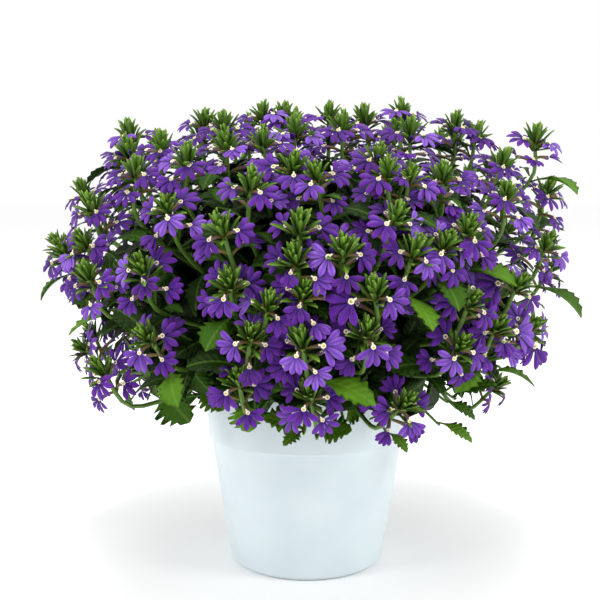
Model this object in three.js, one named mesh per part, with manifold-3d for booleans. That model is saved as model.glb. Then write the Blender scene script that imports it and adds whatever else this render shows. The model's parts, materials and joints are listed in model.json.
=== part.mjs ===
// A potted fan flower: a mound of leafy shoots in a white plastic nursery pot. Each shoot ends in a tuft of
// narrow green bracts, and below the tuft stands a ring of blooms, each a fan of petals.
// Three rooted cuttings fill the pot, and the shoots of each cutting cover a third of the mound.
// Millimetres, +Z up, -Y towards the viewer, origin at the middle of the pot's foot.
import * as THREE from "three";
import { mergeVertices } from "three/addons/utils/BufferGeometryUtils.js";
import Module from "manifold-3d";

const wasm = await Module();
wasm.setup();

const { degToRad, mapLinear, clamp, euclideanModulo } = THREE.MathUtils;
const TURN = 2 * Math.PI;
const GOLDEN_ANGLE = Math.PI * (3 - Math.sqrt(5));
const TINY = 1e-9; // makes the way round from a bearing to itself a whole turn
const SAME_PLACE = 1e-4; // corners closer than this are one
const CROSSING = 1e-3; // cubic millimetres that two pieces share when they cross
const UP = new THREE.Vector3(0, 0, 1);

// Driving dimensions.
const GAP = 0.35; // what stands against another piece keeps this clear of it
const POT = {
  height: 118,
  rimRadius: 65,
  rimBand: 34,
  rimStep: 2.4,
  rimTaper: 0.6,
  rimRound: 0.8,
  footRadius: 49.5,
  footRound: 4,
  wall: 1.6,
  floor: 2.2,
  sides: 32,
};
const DRAIN = { count: 5, ringRadius: 30, radius: 4, sides: 6 };
const SOIL = { top: 107, edgeDrop: 3, flatShare: 0.6, crown: 1, clear: 1, edgeClear: 1.6, sides: 20 };
const CUTTING = { count: 3, firstBearing: 90, ringRadius: 14, radius: 3.6, sides: 6, depth: 26, clear: 0.75 };

// The mound is a superellipsoid of revolution: the middles of the heads' tufts stand on it.
const MOUND = { radius: 165, middle: 190, above: 99, below: 108, fullness: 2.5 };
// The inner bush is the mound drawn towards a point above the soil, with an uneven surface, above the rim.
const BUSH = {
  about: new THREE.Vector3(0, 0, 132),
  share: 0.7,
  bumps: 0.22,
  overRim: 1.5,
  steps: 50,
  columns: 14,
  rows: 7,
};
// Where shoots start, as a share of the way from the bush's middle to the head, and how far they keep from
// the next cutting. Those that hang lower than the rim start outside it, and higher than its edge.
const ROOT = { share: 0.33, inside: 5, lowShare: 0.6, low: 10, overRim: 5 };

// A head leans between the way the mound faces and straight up.
const HEAD = { outward: 0.5, up: 0.65, lean: 0.35, fourBlooms: 0.1 };
const STEM = { radius: 1.5, rootRadius: 2.25, straight: 24, tuftStart: 1 };
const TUFT = { height: 17, tip: [6.6, 13], tipUneven: 3, valley: [2.7, 6], middle: 8 };
const BLOOM = {
  petal: 12,
  throatRadius: 8.5,
  throatRise: 2,
  notch: 0.6,
  ear: 0.24,
  earTurn: degToRad(20),
  spread: 0.6,
  besides: 0.85,
  bend: 0.014,
  rise: 0.56,
  keel: 0.84,
};
// A bloom faces outward from its stem, along its stem and away from the mound, in these shares.
const FACING = { fromStem: 0.5, alongStem: 0.5, fromMound: 0.45 };
// The green seat that a ring of blooms stands on, round the stem.
const SEAT = { low: -2.4, high: -0.2, radius: 4.8, widestGap: degToRad(150) };
// How far open a bloom stands and how far round the stem it turns, in the order in which they are tried.
const OPENNESS = [1, 0.7, 0.45];
const TURNS = [0, 15, -15, 30, -30, 45, -45].map(degToRad);
const CLOSED_LENGTH = 0.6; // a closed bloom's length as a share of an open one's

// Neighbouring heads reach for each other until their petals cross, so that bunches hold together.
const BUNCH = {
  reach: 56,
  heads: 4,
  count: 55,
  overlap: 0.15,
  stretches: [1, 1.2, 1.45],
  tubeShare: 1.2,
  petalShare: 0.6,
  openness: [1, 0.6],
  turns: [0, 20, -20, 40, -40, 60, -60, 80, -80, 100, -100].map(degToRad),
};
const NEIGHBOURS = 75; // heads further apart than this can't touch

const LEAF = { length: 34, halfWidth: 9.5, thickness: 1.4, arch: 0.16, middle: 0.6 };
// Half a leaf's outline as shares of its length and half width: a narrow stalk, then coarse teeth.
const SMALL_LEAF = [[0.36, 0.34], [0.62, 1], [0.72, 0.62]];
const LARGE_LEAF = [[0.34, 0.3], [0.55, 1], [0.63, 0.72], [0.86, 0.86]];
const SHOOT_LEAF = {
  lowest: 1,
  highest: 0.75,
  shortest: 0.8,
  longest: 1.15,
  sunk: 0.8,
  out: 0.92,
  alongStem: 0.1,
  droop: 0.1,
};
const LEAF_TURNS = [0, 50, -50, 100, -100, 150].map(degToRad);
const STALK = { radius: 1.3, anchorShare: 0.3, anchorRise: 14, upTheLeaf: 0.33, rootInFront: 0.9 };

// The viewer's place, and a square frame in which the front's heads and low leaves are set out as seen.
const VIEW = { eye: new THREE.Vector3(-4.5, -700, 259), dip: degToRad(7.2), focal: 1090, middle: 300 };

// Where each tuft of the front and the crown stands in that frame, across and down.
const FRONT_HEADS = [
  [205, 115], [224, 119], [225, 137], [263, 107], [285, 111], [296, 124], [263, 133], [329, 108],
  [343, 120], [364, 113], [402, 104], [412, 125], [456, 117], [478, 129], [538, 132], [129, 128],
  [127, 145], [135, 164], [161, 140], [187, 152], [251, 177], [315, 167], [294, 159], [380, 149],
  [388, 166], [412, 171], [444, 168], [505, 157], [508, 187], [550, 185], [89, 201], [164, 201],
  [80, 237], [60, 247], [219, 222], [300, 221], [398, 211], [470, 223], [550, 239], [140, 263],
  [86, 271], [229, 279], [293, 253], [344, 243], [418, 243], [449, 237], [375, 285], [522, 279],
  [270, 299], [305, 287], [474, 296], [500, 322], [536, 322], [143, 333], [251, 330], [301, 336],
  [368, 327], [463, 341], [97, 365], [236, 375], [309, 389], [408, 401],
];

// How many spikes a tuft has and how many petals a bloom, and that one shoot in so many bears a leaf. There
// are fewer of each at the back.
const FRONT_LOOK = { spikes: 5, petals: 4, leafEvery: 1 };
const BACK_LOOK = { spikes: 4, petals: 3, leafEvery: 2 };

// The rest of the mound is filled by rule, in pairs along a golden-angle spiral, clear of what is there.
const BACK = {
  tries: 600,
  flatter: 0.7,
  spacing: 58,
  pair: 29,
  pairSpacing: 25,
  slant: 0.8,
  nearest: 8,
  lowest: 128,
};

// Low leaves that hang out over the rim: root across and down, tip across and down, how far the tip stands
// in front of the pot's axis, and half the leaf's width.
const LOW_LEAVES = [
  [126, 318, 68, 331, 30, 9], [158, 383, 192, 420, 60, 14], [196, 386, 224, 410, 80, 9],
  [128, 385, 132, 411, 40, 5], [246, 398, 252, 432, 98, 11], [305, 430, 262, 416, 104, 9],
  [304, 431, 283, 442, 106, 5], [316, 436, 352, 430, 108, 10], [345, 424, 365, 409, 96, 8],
  [386, 432, 407, 451, 90, 5], [484, 373, 536, 379, 30, 8], [452, 397, 497, 384, 45, 11],
  [444, 400, 476, 418, 52, 8], [436, 422, 474, 439, 62, 9],
];

const vec = (x, y, z) => new THREE.Vector3(x, y, z);
const wrapped = (angle) => euclideanModulo(angle, TURN);

// A point beside another, by lengths along directions.
function beside(point, ...steps) {
  const p = point.clone();
  for (const [direction, length] of steps) p.addScaledVector(direction, length);
  return p;
}

// What a draw is for.
const DRAW = {
  leanAcross: 1,
  leanBack: 2,
  turn: 3,
  blooms: 4,
  bearing: 5,
  pairSlant: 6,
  spike: 30,
  leafHeight: 40,
  leafTurn: 41,
  leafLength: 42,
};

// A draw from 0 to 1 that depends only on a piece's number and on what the draw is for.
function draw(number, purpose) {
  const s = Math.sin(number * 12.9898 + purpose * 78.233) * 43758.5453;
  return s - Math.floor(s);
}

// Solids

function solidOf(geometry) {
  for (const name of ["normal", "uv"]) geometry.deleteAttribute(name);
  const merged = mergeVertices(geometry, SAME_PLACE);
  const mesh = new wasm.Mesh({
    numProp: 3,
    vertProperties: new Float32Array(merged.attributes.position.array),
    triVerts: new Uint32Array(merged.index.array),
  });
  return new wasm.Manifold(mesh);
}

// The closed body of these corners and triangles, each triangle wound to face out.
function body(corners, triangles) {
  const mesh = new wasm.Mesh({
    numProp: 3,
    vertProperties: new Float32Array(corners.flatMap((c) => c.toArray())),
    triVerts: new Uint32Array(triangles.flat()),
  });
  return new wasm.Manifold(mesh);
}

function meshOf(name, solid, material) {
  const { vertProperties, triVerts } = solid.getMesh();
  const geometry = new THREE.BufferGeometry();
  geometry.setAttribute("position", new THREE.BufferAttribute(new Float32Array(vertProperties), 3));
  geometry.setIndex(new THREE.BufferAttribute(new Uint32Array(triVerts), 1));
  geometry.computeVertexNormals();
  const mesh = new THREE.Mesh(geometry, material);
  mesh.name = name;
  return mesh;
}

const joined = (solids) => wasm.Manifold.union(solids);
const sharedVolume = (a, b) => a.intersect(b).volume();

// Whether two solids' boxes meet, a quick test before the exact one.
function boxesMeet(a, b) {
  const [p, q] = [a.boundingBox(), b.boundingBox()];
  return [0, 1, 2].every((i) => p.min[i] < q.max[i] && q.min[i] < p.max[i]);
}
const crosses = (a, b) => boxesMeet(a, b) && sharedVolume(a, b) > CROSSING;
const blocked = (solid, others) => others.some((other) => crosses(solid, other));

// Triangles between an inner and an outer closed chain, both running with the bearing. Each inner corner
// joins the outer corner just before it.
function bridge(inner, outer, bearing, triangles, turned) {
  const face = (a, b, c) => triangles.push(turned ? [a, c, b] : [a, b, c]);
  const start = bearing(outer[0]) - TINY;
  const past = (corner) => wrapped(bearing(corner) - start);
  const ring = inner.toSorted((a, b) => past(a) - past(b));
  let held = ring.at(-1);
  outer.forEach((corner, i) => {
    const end = i + 1 < outer.length ? past(outer[i + 1]) : TURN;
    while (ring.length && past(ring[0]) < end) {
      face(held, corner, ring[0]);
      held = ring.shift();
    }
    face(held, corner, outer[(i + 1) % outer.length]);
  });
}

// The number of the group that each of several things is in, as pairs of them are put together.
function groups(count) {
  const parent = Array.from({ length: count }, (_, i) => i);
  const find = (i) => (parent[i] === i ? i : find(parent[i]));
  return { find, join: (i, j) => (parent[find(i)] = find(j)) };
}

// Pot and soil

// The pot's outer radius at a height on its tapering wall, below the rim band.
const underRim = POT.height - POT.rimBand;
const potRadius = (z) => mapLinear(z, 0, underRim, POT.footRadius, POT.rimRadius - POT.rimStep);
const profilePoint = (radius, z) => new THREE.Vector2(radius, z);

function lathe(profile, sides) {
  return solidOf(new THREE.LatheGeometry(profile, sides).rotateX(Math.PI / 2));
}

function upright(radius, low, high, sides, at) {
  const post = new THREE.CylinderGeometry(radius, radius, high - low, sides).rotateX(Math.PI / 2);
  return solidOf(post.translate(at.x, at.y, (low + high) / 2));
}

const ringPlace = (radius, bearing) => vec(radius * Math.cos(bearing), radius * Math.sin(bearing), 0);

function makePot() {
  const footCorner = [20, 65].map(degToRad).map((a) =>
    profilePoint(potRadius(0) - POT.footRound * (1 - Math.sin(a)), POT.footRound * (1 - Math.cos(a))),
  );
  const shell = lathe(
    [
      profilePoint(0, 0),
      ...footCorner,
      profilePoint(potRadius(underRim), underRim),
      profilePoint(POT.rimRadius - POT.rimTaper, underRim + POT.rimRound),
      profilePoint(POT.rimRadius, POT.height - POT.rimRound),
      profilePoint(POT.rimRadius - POT.wall, POT.height),
      profilePoint(potRadius(underRim) - POT.wall, underRim),
      profilePoint(potRadius(POT.floor) - POT.wall, POT.floor),
      profilePoint(0, POT.floor),
    ],
    POT.sides,
  );
  const holes = Array.from({ length: DRAIN.count }, (_, i) => {
    const at = ringPlace(DRAIN.ringRadius, (i * TURN) / DRAIN.count);
    return upright(DRAIN.radius, -1, POT.floor + 1, DRAIN.sides, at);
  });
  return shell.subtract(joined(holes));
}

const cuttingBearing = (c) => degToRad(CUTTING.firstBearing) + (c * TURN) / CUTTING.count;
const cuttingFoot = (c) => ringPlace(CUTTING.ringRadius, cuttingBearing(c));

// The pot's inner radius at a height.
function insideRadius(z) {
  const [foot, mouth] = [potRadius(underRim) - POT.wall, POT.rimRadius - POT.wall];
  return z < underRim ? potRadius(z) - POT.wall : mapLinear(z, underRim, POT.height, foot, mouth);
}

function makeSoil() {
  const edge = SOIL.top - SOIL.edgeDrop;
  const peat = lathe(
    [
      profilePoint(0, POT.floor + GAP),
      profilePoint(insideRadius(POT.floor) - SOIL.clear, POT.floor + GAP),
      profilePoint(insideRadius(edge) - SOIL.edgeClear, edge),
      profilePoint(insideRadius(SOIL.top) * SOIL.flatShare, SOIL.top),
      profilePoint(0, SOIL.top + SOIL.crown),
    ],
    SOIL.sides,
  );
  const [low, high] = [SOIL.top - CUTTING.depth - GAP, POT.height];
  const holes = Array.from({ length: CUTTING.count }, (_, c) =>
    upright(CUTTING.radius + CUTTING.clear, low, high, CUTTING.sides, cuttingFoot(c)),
  );
  return peat.subtract(joined(holes));
}

// The mound and its heads

const moundMiddle = vec(0, 0, MOUND.middle);

// 1 on the mound's surface, less inside it.
function moundLevel(p) {
  const reach = Math.hypot(p.x, p.y) / MOUND.radius;
  const rise = Math.abs(p.z - MOUND.middle) / (p.z > MOUND.middle ? MOUND.above : MOUND.below);
  return (reach ** MOUND.fullness + rise ** MOUND.fullness) ** (1 / MOUND.fullness);
}

// The way the mound faces at a point.
function moundFacing(p) {
  const slope = (step) => moundLevel(p.clone().add(step)) - moundLevel(p.clone().sub(step));
  return vec(slope(vec(1, 0, 0)), slope(vec(0, 1, 0)), slope(vec(0, 0, 1))).normalize();
}

// The mound's point in a direction from its middle.
function onMound(way) {
  return beside(moundMiddle, [way, 1 / moundLevel(moundMiddle.clone().add(way))]);
}

// The point on a line of sight at a given distance in front of the pot's axis.
function seenAtDepth(across, down, inFront) {
  const sight = vec((across - VIEW.middle) / VIEW.focal, 1, (VIEW.middle - down) / VIEW.focal);
  sight.applyAxisAngle(vec(1, 0, 0), -VIEW.dip);
  return beside(VIEW.eye, [sight, (-inFront - VIEW.eye.y) / sight.y]);
}

// Where a line of sight first meets the mound or, if it passes by, where it comes closest.
function seenOnMound(across, down) {
  let nearest = null;
  for (let inFront = MOUND.radius; inFront > -MOUND.radius; inFront -= 1) {
    const p = seenAtDepth(across, down, inFront);
    if (!nearest || moundLevel(p) < moundLevel(nearest)) nearest = p;
    if (moundLevel(nearest) <= 1) break;
  }
  return nearest;
}

// Which cutting's third of the mound a point is in.
function cuttingOf(p) {
  const third = TURN / CUTTING.count;
  const past = wrapped(Math.atan2(p.y, p.x) - cuttingBearing(0) + third / 2);
  return Math.floor(past / third) % CUTTING.count;
}

// A head from the place of its tuft's middle: its seat, where the blooms stand round the stem, its axis with
// two directions square to it, the way the mound faces there, and the blooms that reach for a neighbour.
function headAt(tuft, number) {
  const outward = moundFacing(tuft);
  const lean = vec(draw(number, DRAW.leanAcross) - 0.5, draw(number, DRAW.leanBack) - 0.5, 0);
  const axis = beside(lean.multiplyScalar(HEAD.lean), [outward, HEAD.outward], [UP, HEAD.up]).normalize();
  const seat = beside(tuft, [axis, -TUFT.middle]);
  const turn = draw(number, DRAW.turn) * TURN;
  const e1 = vec(0, 1, 0).cross(axis).normalize().applyAxisAngle(axis, turn);
  const e2 = axis.clone().cross(e1);
  const blooms = draw(number, DRAW.blooms) < HEAD.fourBlooms ? 4 : 3;
  const look = number > FRONT_HEADS.length ? BACK_LOOK : FRONT_LOOK;
  const cutting = cuttingOf(seat);
  return { number, tuft, outward, axis, seat, e1, e2, blooms, ...look, cutting, reaches: [] };
}

// The i-th direction of a golden-angle spiral, drawn flatter because the mound is wider than tall.
function spiralWay(i, count) {
  const up = 1 - (2 * (i + 0.5)) / count;
  return ringPlace(Math.sqrt(1 - up * up), i * GOLDEN_ANGLE).setZ(up * BACK.flatter);
}

function makeHeads() {
  const heads = FRONT_HEADS.map(([across, down], i) => headAt(seenOnMound(across, down), i + 1));
  const grow = (p, spacing) => {
    const clear = heads.every((head) => head.tuft.distanceTo(p) > spacing);
    const fits = clear && p.y > BACK.nearest && p.z > BACK.lowest;
    if (fits) heads.push(headAt(p, heads.length + 1));
    return fits;
  };
  for (let i = 0; i < BACK.tries; i++) {
    const p = onMound(spiralWay(i, BACK.tries));
    if (!grow(p, BACK.spacing)) continue;
    const facing = moundFacing(p);
    const level = facing.clone().cross(UP).normalize();
    const aside = level.applyAxisAngle(facing, BACK.slant * (draw(i, DRAW.pairSlant) - 0.5));
    grow(onMound(beside(p, [aside, BACK.pair]).sub(moundMiddle)), BACK.pairSpacing);
  }
  return heads;
}

// The bearing round a head's axis at which a point lies.
function bearingOf(head, point) {
  const way = point.clone().sub(head.seat);
  return wrapped(Math.atan2(way.dot(head.e2), way.dot(head.e1)));
}

const atBearing = (head, bearing) => head.e1.clone().applyAxisAngle(head.axis, bearing);

// Three corners round a head's stem, which the stem and the blooms' seat share so that they lie parallel.
function stemRing(head, centre, radius) {
  return [0, 1, 2].map((i) => beside(centre, [atBearing(head, (i * TURN) / 3), radius]));
}

// Blooms

// One bloom's corners: the throat's two faces, then the edge from one ear over the petal tips to the other.
// stretch lengthens it and openness closes it.
function bloomCorners(head, { bearing, stretch = 1, openness = 1 }) {
  const u = atBearing(head, bearing);
  const shares = [[u, FACING.fromStem], [head.axis, FACING.alongStem], [head.outward, FACING.fromMound]];
  const face = beside(vec(0, 0, 0), ...shares).normalize();
  const side = face.clone().cross(u).normalize();
  const along = side.clone().cross(face).normalize();
  const tube = BLOOM.throatRadius * (1 + BUNCH.tubeShare * (stretch - 1));
  const throat = beside(head.seat, [u, tube], [head.axis, BLOOM.throatRise]);
  const widest = (BLOOM.spread * TURN * openness) / head.blooms;
  const opened = CLOSED_LENGTH + (1 - CLOSED_LENGTH) * openness;
  const length = BLOOM.petal * (1 + BUNCH.petalShare * (stretch - 1)) * opened;
  const bend = openness < 1 ? BLOOM.bend : -BLOOM.bend;
  const at = (angle, reach) => {
    const out = [along, Math.cos(angle) * reach];
    return beside(throat, out, [side, Math.sin(angle) * reach], [face, bend * reach * reach]);
  };
  const step = (2 * widest) / (head.petals - 1);
  const ear = widest + BLOOM.earTurn;
  const petals = Array.from({ length: 2 * head.petals - 1 }, (_, i) =>
    at(-widest + (i * step) / 2, i % 2 ? length * BLOOM.notch : length),
  );
  return {
    front: beside(throat, [face, BLOOM.rise]),
    back: beside(throat, [face, -BLOOM.keel]),
    edge: [at(-ear, length * BLOOM.ear), ...petals, at(ear, length * BLOOM.ear)],
  };
}

// The fan alone, closed behind the throat, for the test against what stands near it.
function fanAlone(head, bloom) {
  const { front, back, edge } = bloomCorners(head, bloom);
  const n = edge.length;
  const triangles = edge.flatMap((_, i) => [[n, i, (i + 1) % n], [n + 1, (i + 1) % n, i]]);
  return body([...edge, front, back], triangles);
}

// Corners that carry the seat round the stem where the next bloom is far off.
function seatCorners(head, from, gap) {
  const count = Math.ceil(gap / SEAT.widestGap) - 1;
  return Array.from({ length: count }, (_, i) => {
    const bearing = from + (gap * (i + 1)) / (count + 1);
    return beside(head.seat, [atBearing(head, bearing), SEAT.radius], [head.axis, SEAT.low / 2]);
  });
}

// A ring of blooms round a stem. Its seat is a three-sided collar, clear of the stem, that widens to the
// throats, so the whole ring is one body.
function bloomRing(head, blooms) {
  const corners = [];
  const triangles = [];
  const add = (p) => corners.push(p) - 1;
  const collar = (rise) => {
    return stemRing(head, beside(head.seat, [head.axis, rise]), STEM.radius + 2 * GAP).map(add);
  };
  const low = collar(SEAT.low);
  const high = collar(SEAT.high);
  // The outer chains of the upper and the lower side, which differ only at the throats.
  const upper = [];
  const lower = [];
  blooms.forEach((bloom, k) => {
    const { front, back, edge } = bloomCorners(head, bloom);
    const rim = edge.map(add);
    const [top, under] = [add(front), add(back)];
    rim.slice(1).forEach((corner, i) => triangles.push([top, rim[i], corner], [under, corner, rim[i]]));
    const gap = wrapped(blooms[(k + 1) % blooms.length].bearing - bloom.bearing - TINY);
    const between = seatCorners(head, bloom.bearing, gap).map(add);
    upper.push(rim[0], top, rim.at(-1), ...between);
    lower.push(rim[0], under, rim.at(-1), ...between);
  });
  const bearing = (corner) => bearingOf(head, corners[corner]);
  bridge(high, upper, bearing, triangles, false);
  bridge(low, lower, bearing, triangles, true);
  low.forEach((corner, i) => {
    const j = (i + 1) % low.length;
    triangles.push([corner, high[j], low[j]], [corner, high[i], high[j]]);
  });
  return body(corners, triangles);
}

// Whether a bearing leaves room beside the blooms that a head already has.
function besides(head, blooms, bearing) {
  return blooms.every((bloom) => {
    const turn = wrapped(bearing - bloom.bearing);
    return Math.min(turn, TURN - turn) > (BLOOM.besides * TURN) / head.blooms;
  });
}

// Bearings that fill the gaps between those already set, up to a number in all.
function spreadBearings(set, count) {
  const fixed = set.toSorted((a, b) => a - b);
  const gaps = fixed.map((b, i) => (i + 1 < fixed.length ? fixed[i + 1] : fixed[0] + TURN) - b);
  const shares = gaps.map(() => 1);
  for (let i = set.length; i < count; i++) {
    const widths = gaps.map((gap, g) => gap / shares[g]);
    shares[widths.indexOf(Math.max(...widths))] += 1;
  }
  return fixed.flatMap((b, g) =>
    Array.from({ length: shares[g] - 1 }, (_, i) => b + (gaps[g] * (i + 1)) / shares[g]),
  );
}

// The blooms of a head: those that reach for a neighbour, and the rest as wide open as they stand clear.
// One that finds no clear place stays out.
function makeBlooms(head, others) {
  const blooms = [...head.reaches];
  const set = blooms.length ? blooms.map((bloom) => bloom.bearing) : [draw(head.number, DRAW.bearing) * TURN];
  const wanted = [...set.slice(blooms.length), ...spreadBearings(set, head.blooms)];
  for (const bearing of wanted) {
    const tries = OPENNESS.flatMap((openness) => {
      return TURNS.map((turn) => ({ bearing: wrapped(bearing + turn), openness }));
    });
    const fits = (bloom) => {
      return besides(head, blooms, bloom.bearing) && !blocked(fanAlone(head, bloom), others);
    };
    const found = tries.find(fits);
    if (found) blooms.push(found);
  }
  return blooms.sort((a, b) => a.bearing - b.bearing);
}

// The ways a head's bloom can reach towards a neighbour, clear of what is there.
function reachesOf(head, neighbour, way, others) {
  return BUNCH.turns
    .map((turn) => ({ bearing: wrapped(bearingOf(head, neighbour.seat) + turn), ...way }))
    .filter((bloom) => besides(head, head.reaches, bloom.bearing))
    .map((bloom) => ({ head, bloom, fan: fanAlone(head, bloom) }))
    .filter(({ fan }) => !blocked(fan, others));
}

// Two heads' blooms that cross, lengthened as little as that takes and with the simplest crossing, or null
// where it fails.
function reachAcross(a, b, others) {
  for (const stretch of BUNCH.stretches) {
    for (const openness of BUNCH.openness) {
      const froms = reachesOf(a, b, { stretch, openness }, others);
      const tos = reachesOf(b, a, { stretch, openness }, others);
      const crossings = froms
        .flatMap((from) => tos.filter((to) => boxesMeet(from.fan, to.fan)).map((to) => [from, to]))
        .filter(([from, to]) => sharedVolume(from.fan, to.fan) > BUNCH.overlap)
        .map((pair) => ({ pair, cost: pair[0].fan.add(pair[1].fan).numTri() }))
        .sort((p, q) => p.cost - q.cost);
      if (crossings.length) return crossings[0].pair;
    }
  }
  return null;
}

// Neighbours reach for each other, the nearest first, until few enough bunches are left. Gives the fans that
// reach, each with its head.
function growTogether(heads, shoots) {
  const bunches = groups(heads.length);
  const size = (i) => heads.filter((_, j) => bunches.find(j) === bunches.find(i)).length;
  const pairs = heads
    .flatMap((a, i) => heads.slice(0, i).map((b, j) => ({ i, j, apart: a.seat.distanceTo(b.seat) })))
    .filter((pair) => pair.apart < BUNCH.reach)
    .sort((p, q) => p.apart - q.apart);
  const fans = [];
  let left = heads.length;
  for (const { i, j } of pairs) {
    if (left <= BUNCH.count) break;
    if (bunches.find(i) === bunches.find(j) || size(i) + size(j) > BUNCH.heads) continue;
    const [a, b] = [heads[i], heads[j]];
    if ([a, b].some((head) => head.reaches.length >= head.blooms)) continue;
    const standing = shoots.filter((_, k) => near(heads[k], a) || near(heads[k], b));
    const pair = reachAcross(a, b, [...standing, ...fans.map((reaching) => reaching.fan)]);
    if (!pair) continue;
    for (const { head, bloom } of pair) head.reaches.push(bloom);
    fans.push(...pair);
    bunches.join(i, j);
    left -= 1;
  }
  return fans;
}

// Shoots and leaves

// A point moved round the pot's axis until it is well inside a cutting's third.
function withinCutting(p, c) {
  const radius = Math.max(Math.hypot(p.x, p.y), 2 * ROOT.inside);
  const limit = Math.PI / CUTTING.count - Math.asin(ROOT.inside / radius);
  const off = wrapped(Math.atan2(p.y, p.x) - cuttingBearing(c) + Math.PI) - Math.PI;
  return ringPlace(radius, cuttingBearing(c) + clamp(off, -limit, limit)).setZ(p.z);
}

// The corners of a tuft's crown, spike tips and the valleys between them in turn.
function crownCorners(head) {
  return Array.from({ length: 2 * head.spikes }, (_, i) => {
    const [radius, rise] = i % 2 ? TUFT.valley : TUFT.tip;
    const uneven = i % 2 ? 0 : TUFT.tipUneven * draw(head.number, DRAW.spike + i);
    const way = atBearing(head, (i * TURN) / (2 * head.spikes));
    return beside(head.seat, [way, radius], [head.axis, rise + uneven]);
  });
}

// Where a shoot starts in the bush.
function shootRoot(head, knee) {
  if (knee.z > POT.height - ROOT.low) return BUSH.about.clone().lerp(head.seat, ROOT.share);
  const root = BUSH.about.clone().lerp(head.seat, ROOT.lowShare);
  return root.setZ(Math.max(root.z, POT.height + ROOT.overRim));
}

// A shoot: a three-sided stem out of the bush, bent up to its head, and the tuft that crowns it.
function shoot(head) {
  const knee = beside(head.seat, [head.axis, -STEM.straight]);
  const root = withinCutting(shootRoot(head, knee), head.cutting);
  const top = beside(head.seat, [head.axis, STEM.tuftStart]);
  const corners = [
    ...stemRing(head, root, STEM.rootRadius),
    ...stemRing(head, knee, STEM.radius),
    ...stemRing(head, top, STEM.radius),
    ...crownCorners(head),
    beside(head.seat, [head.axis, TUFT.height]),
  ];
  const triangles = [[0, 2, 1]];
  for (let i = 0; i < 6; i++) {
    const j = i % 3 === 2 ? i - 2 : i + 1;
    triangles.push([i, j, j + 3], [i, j + 3, i + 3]);
  }
  const peak = corners.length - 1;
  const crown = corners.map((_, i) => i).slice(9, peak);
  bridge([6, 7, 8], crown, (corner) => bearingOf(head, corners[corner]), triangles, true);
  crown.forEach((corner, i) => triangles.push([peak, corner, crown[(i + 1) % crown.length]]));
  return body(corners, triangles);
}

// The places on an arched leaf, by the shares of its length and half width, its upper side towards face.
function leafPlaces(root, tip, face, halfWidth) {
  const length = tip.distanceTo(root);
  const along = tip.clone().sub(root).normalize();
  const side = face.clone().cross(along).normalize();
  const up = along.clone().cross(side);
  return (share, across, lift = 0) => {
    const arch = length * LEAF.arch * 4 * share * (1 - share);
    return beside(root, [along, share * length], [side, across * halfWidth], [up, lift + arch]);
  };
}

// A toothed leaf: a blade that is thickest in the middle, in the outline of one side and its mirror image.
function leaf(at, outline) {
  const edge = [
    at(0, 0),
    ...outline.map(([share, across]) => at(share, -across)),
    at(1, 0),
    ...outline.toReversed().map(([share, across]) => at(share, across)),
  ];
  const n = edge.length;
  const middles = [1, -1].map((way) => at(LEAF.middle, 0, (way * LEAF.thickness) / 2));
  const triangles = edge.flatMap((_, i) => [[n, i, (i + 1) % n], [n + 1, (i + 1) % n, i]]);
  return body([...edge, ...middles], triangles);
}

// The leaf on a shoot's stem, turned round the stem until it is clear of what is there, or null.
function shootLeaf(head, others) {
  const between = (purpose, low, high) => mapLinear(draw(head.number, purpose), 0, 1, low, high);
  const down = STEM.straight * between(DRAW.leafHeight, SHOOT_LEAF.highest, SHOOT_LEAF.lowest);
  const root = beside(head.seat, [head.axis, -down]);
  const grown = between(DRAW.leafLength, SHOOT_LEAF.shortest, SHOOT_LEAF.longest);
  for (const turn of LEAF_TURNS) {
    const way = atBearing(head, draw(head.number, DRAW.leafTurn) * TURN + turn);
    const shares = [[way, SHOOT_LEAF.out], [head.axis, SHOOT_LEAF.alongStem], [UP, -SHOOT_LEAF.droop]];
    const along = beside(vec(0, 0, 0), ...shares).normalize();
    const tip = beside(root, [along, LEAF.length * grown]);
    const at = leafPlaces(beside(root, [along, -SHOOT_LEAF.sunk]), tip, head.axis, LEAF.halfWidth);
    const made = leaf(at, SMALL_LEAF);
    if (!blocked(made, others)) return made;
  }
  return null;
}

// A thin three-sided stalk between two points.
function stalk(from, to) {
  const along = to.clone().sub(from);
  const geometry = new THREE.CylinderGeometry(STALK.radius, STALK.radius, along.length(), 3);
  geometry.translate(0, along.length() / 2, 0);
  geometry.applyQuaternion(new THREE.Quaternion().setFromUnitVectors(vec(0, 1, 0), along.normalize()));
  return solidOf(geometry.translate(from.x, from.y, from.z));
}

const lowLeafRoot = ([across, down, , , inFront]) => seenAtDepth(across, down, inFront * STALK.rootInFront);

// A low leaf on a stalk of its own out of the bush.
function lowLeaf(place, c) {
  const [, , tipAcross, tipDown, inFront, halfWidth] = place;
  const root = lowLeafRoot(place);
  const tip = seenAtDepth(tipAcross, tipDown, inFront);
  const anchor = beside(BUSH.about.clone().lerp(root, STALK.anchorShare), [UP, STALK.anchorRise]);
  const face = root.clone().sub(BUSH.about).setZ(0).normalize().add(UP);
  const at = leafPlaces(root, tip, face, halfWidth);
  const end = at(0, 0).lerp(at(LEAF.middle, 0), STALK.upTheLeaf);
  return joined([leaf(at, LARGE_LEAF), stalk(withinCutting(anchor, c), end)]);
}

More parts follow.
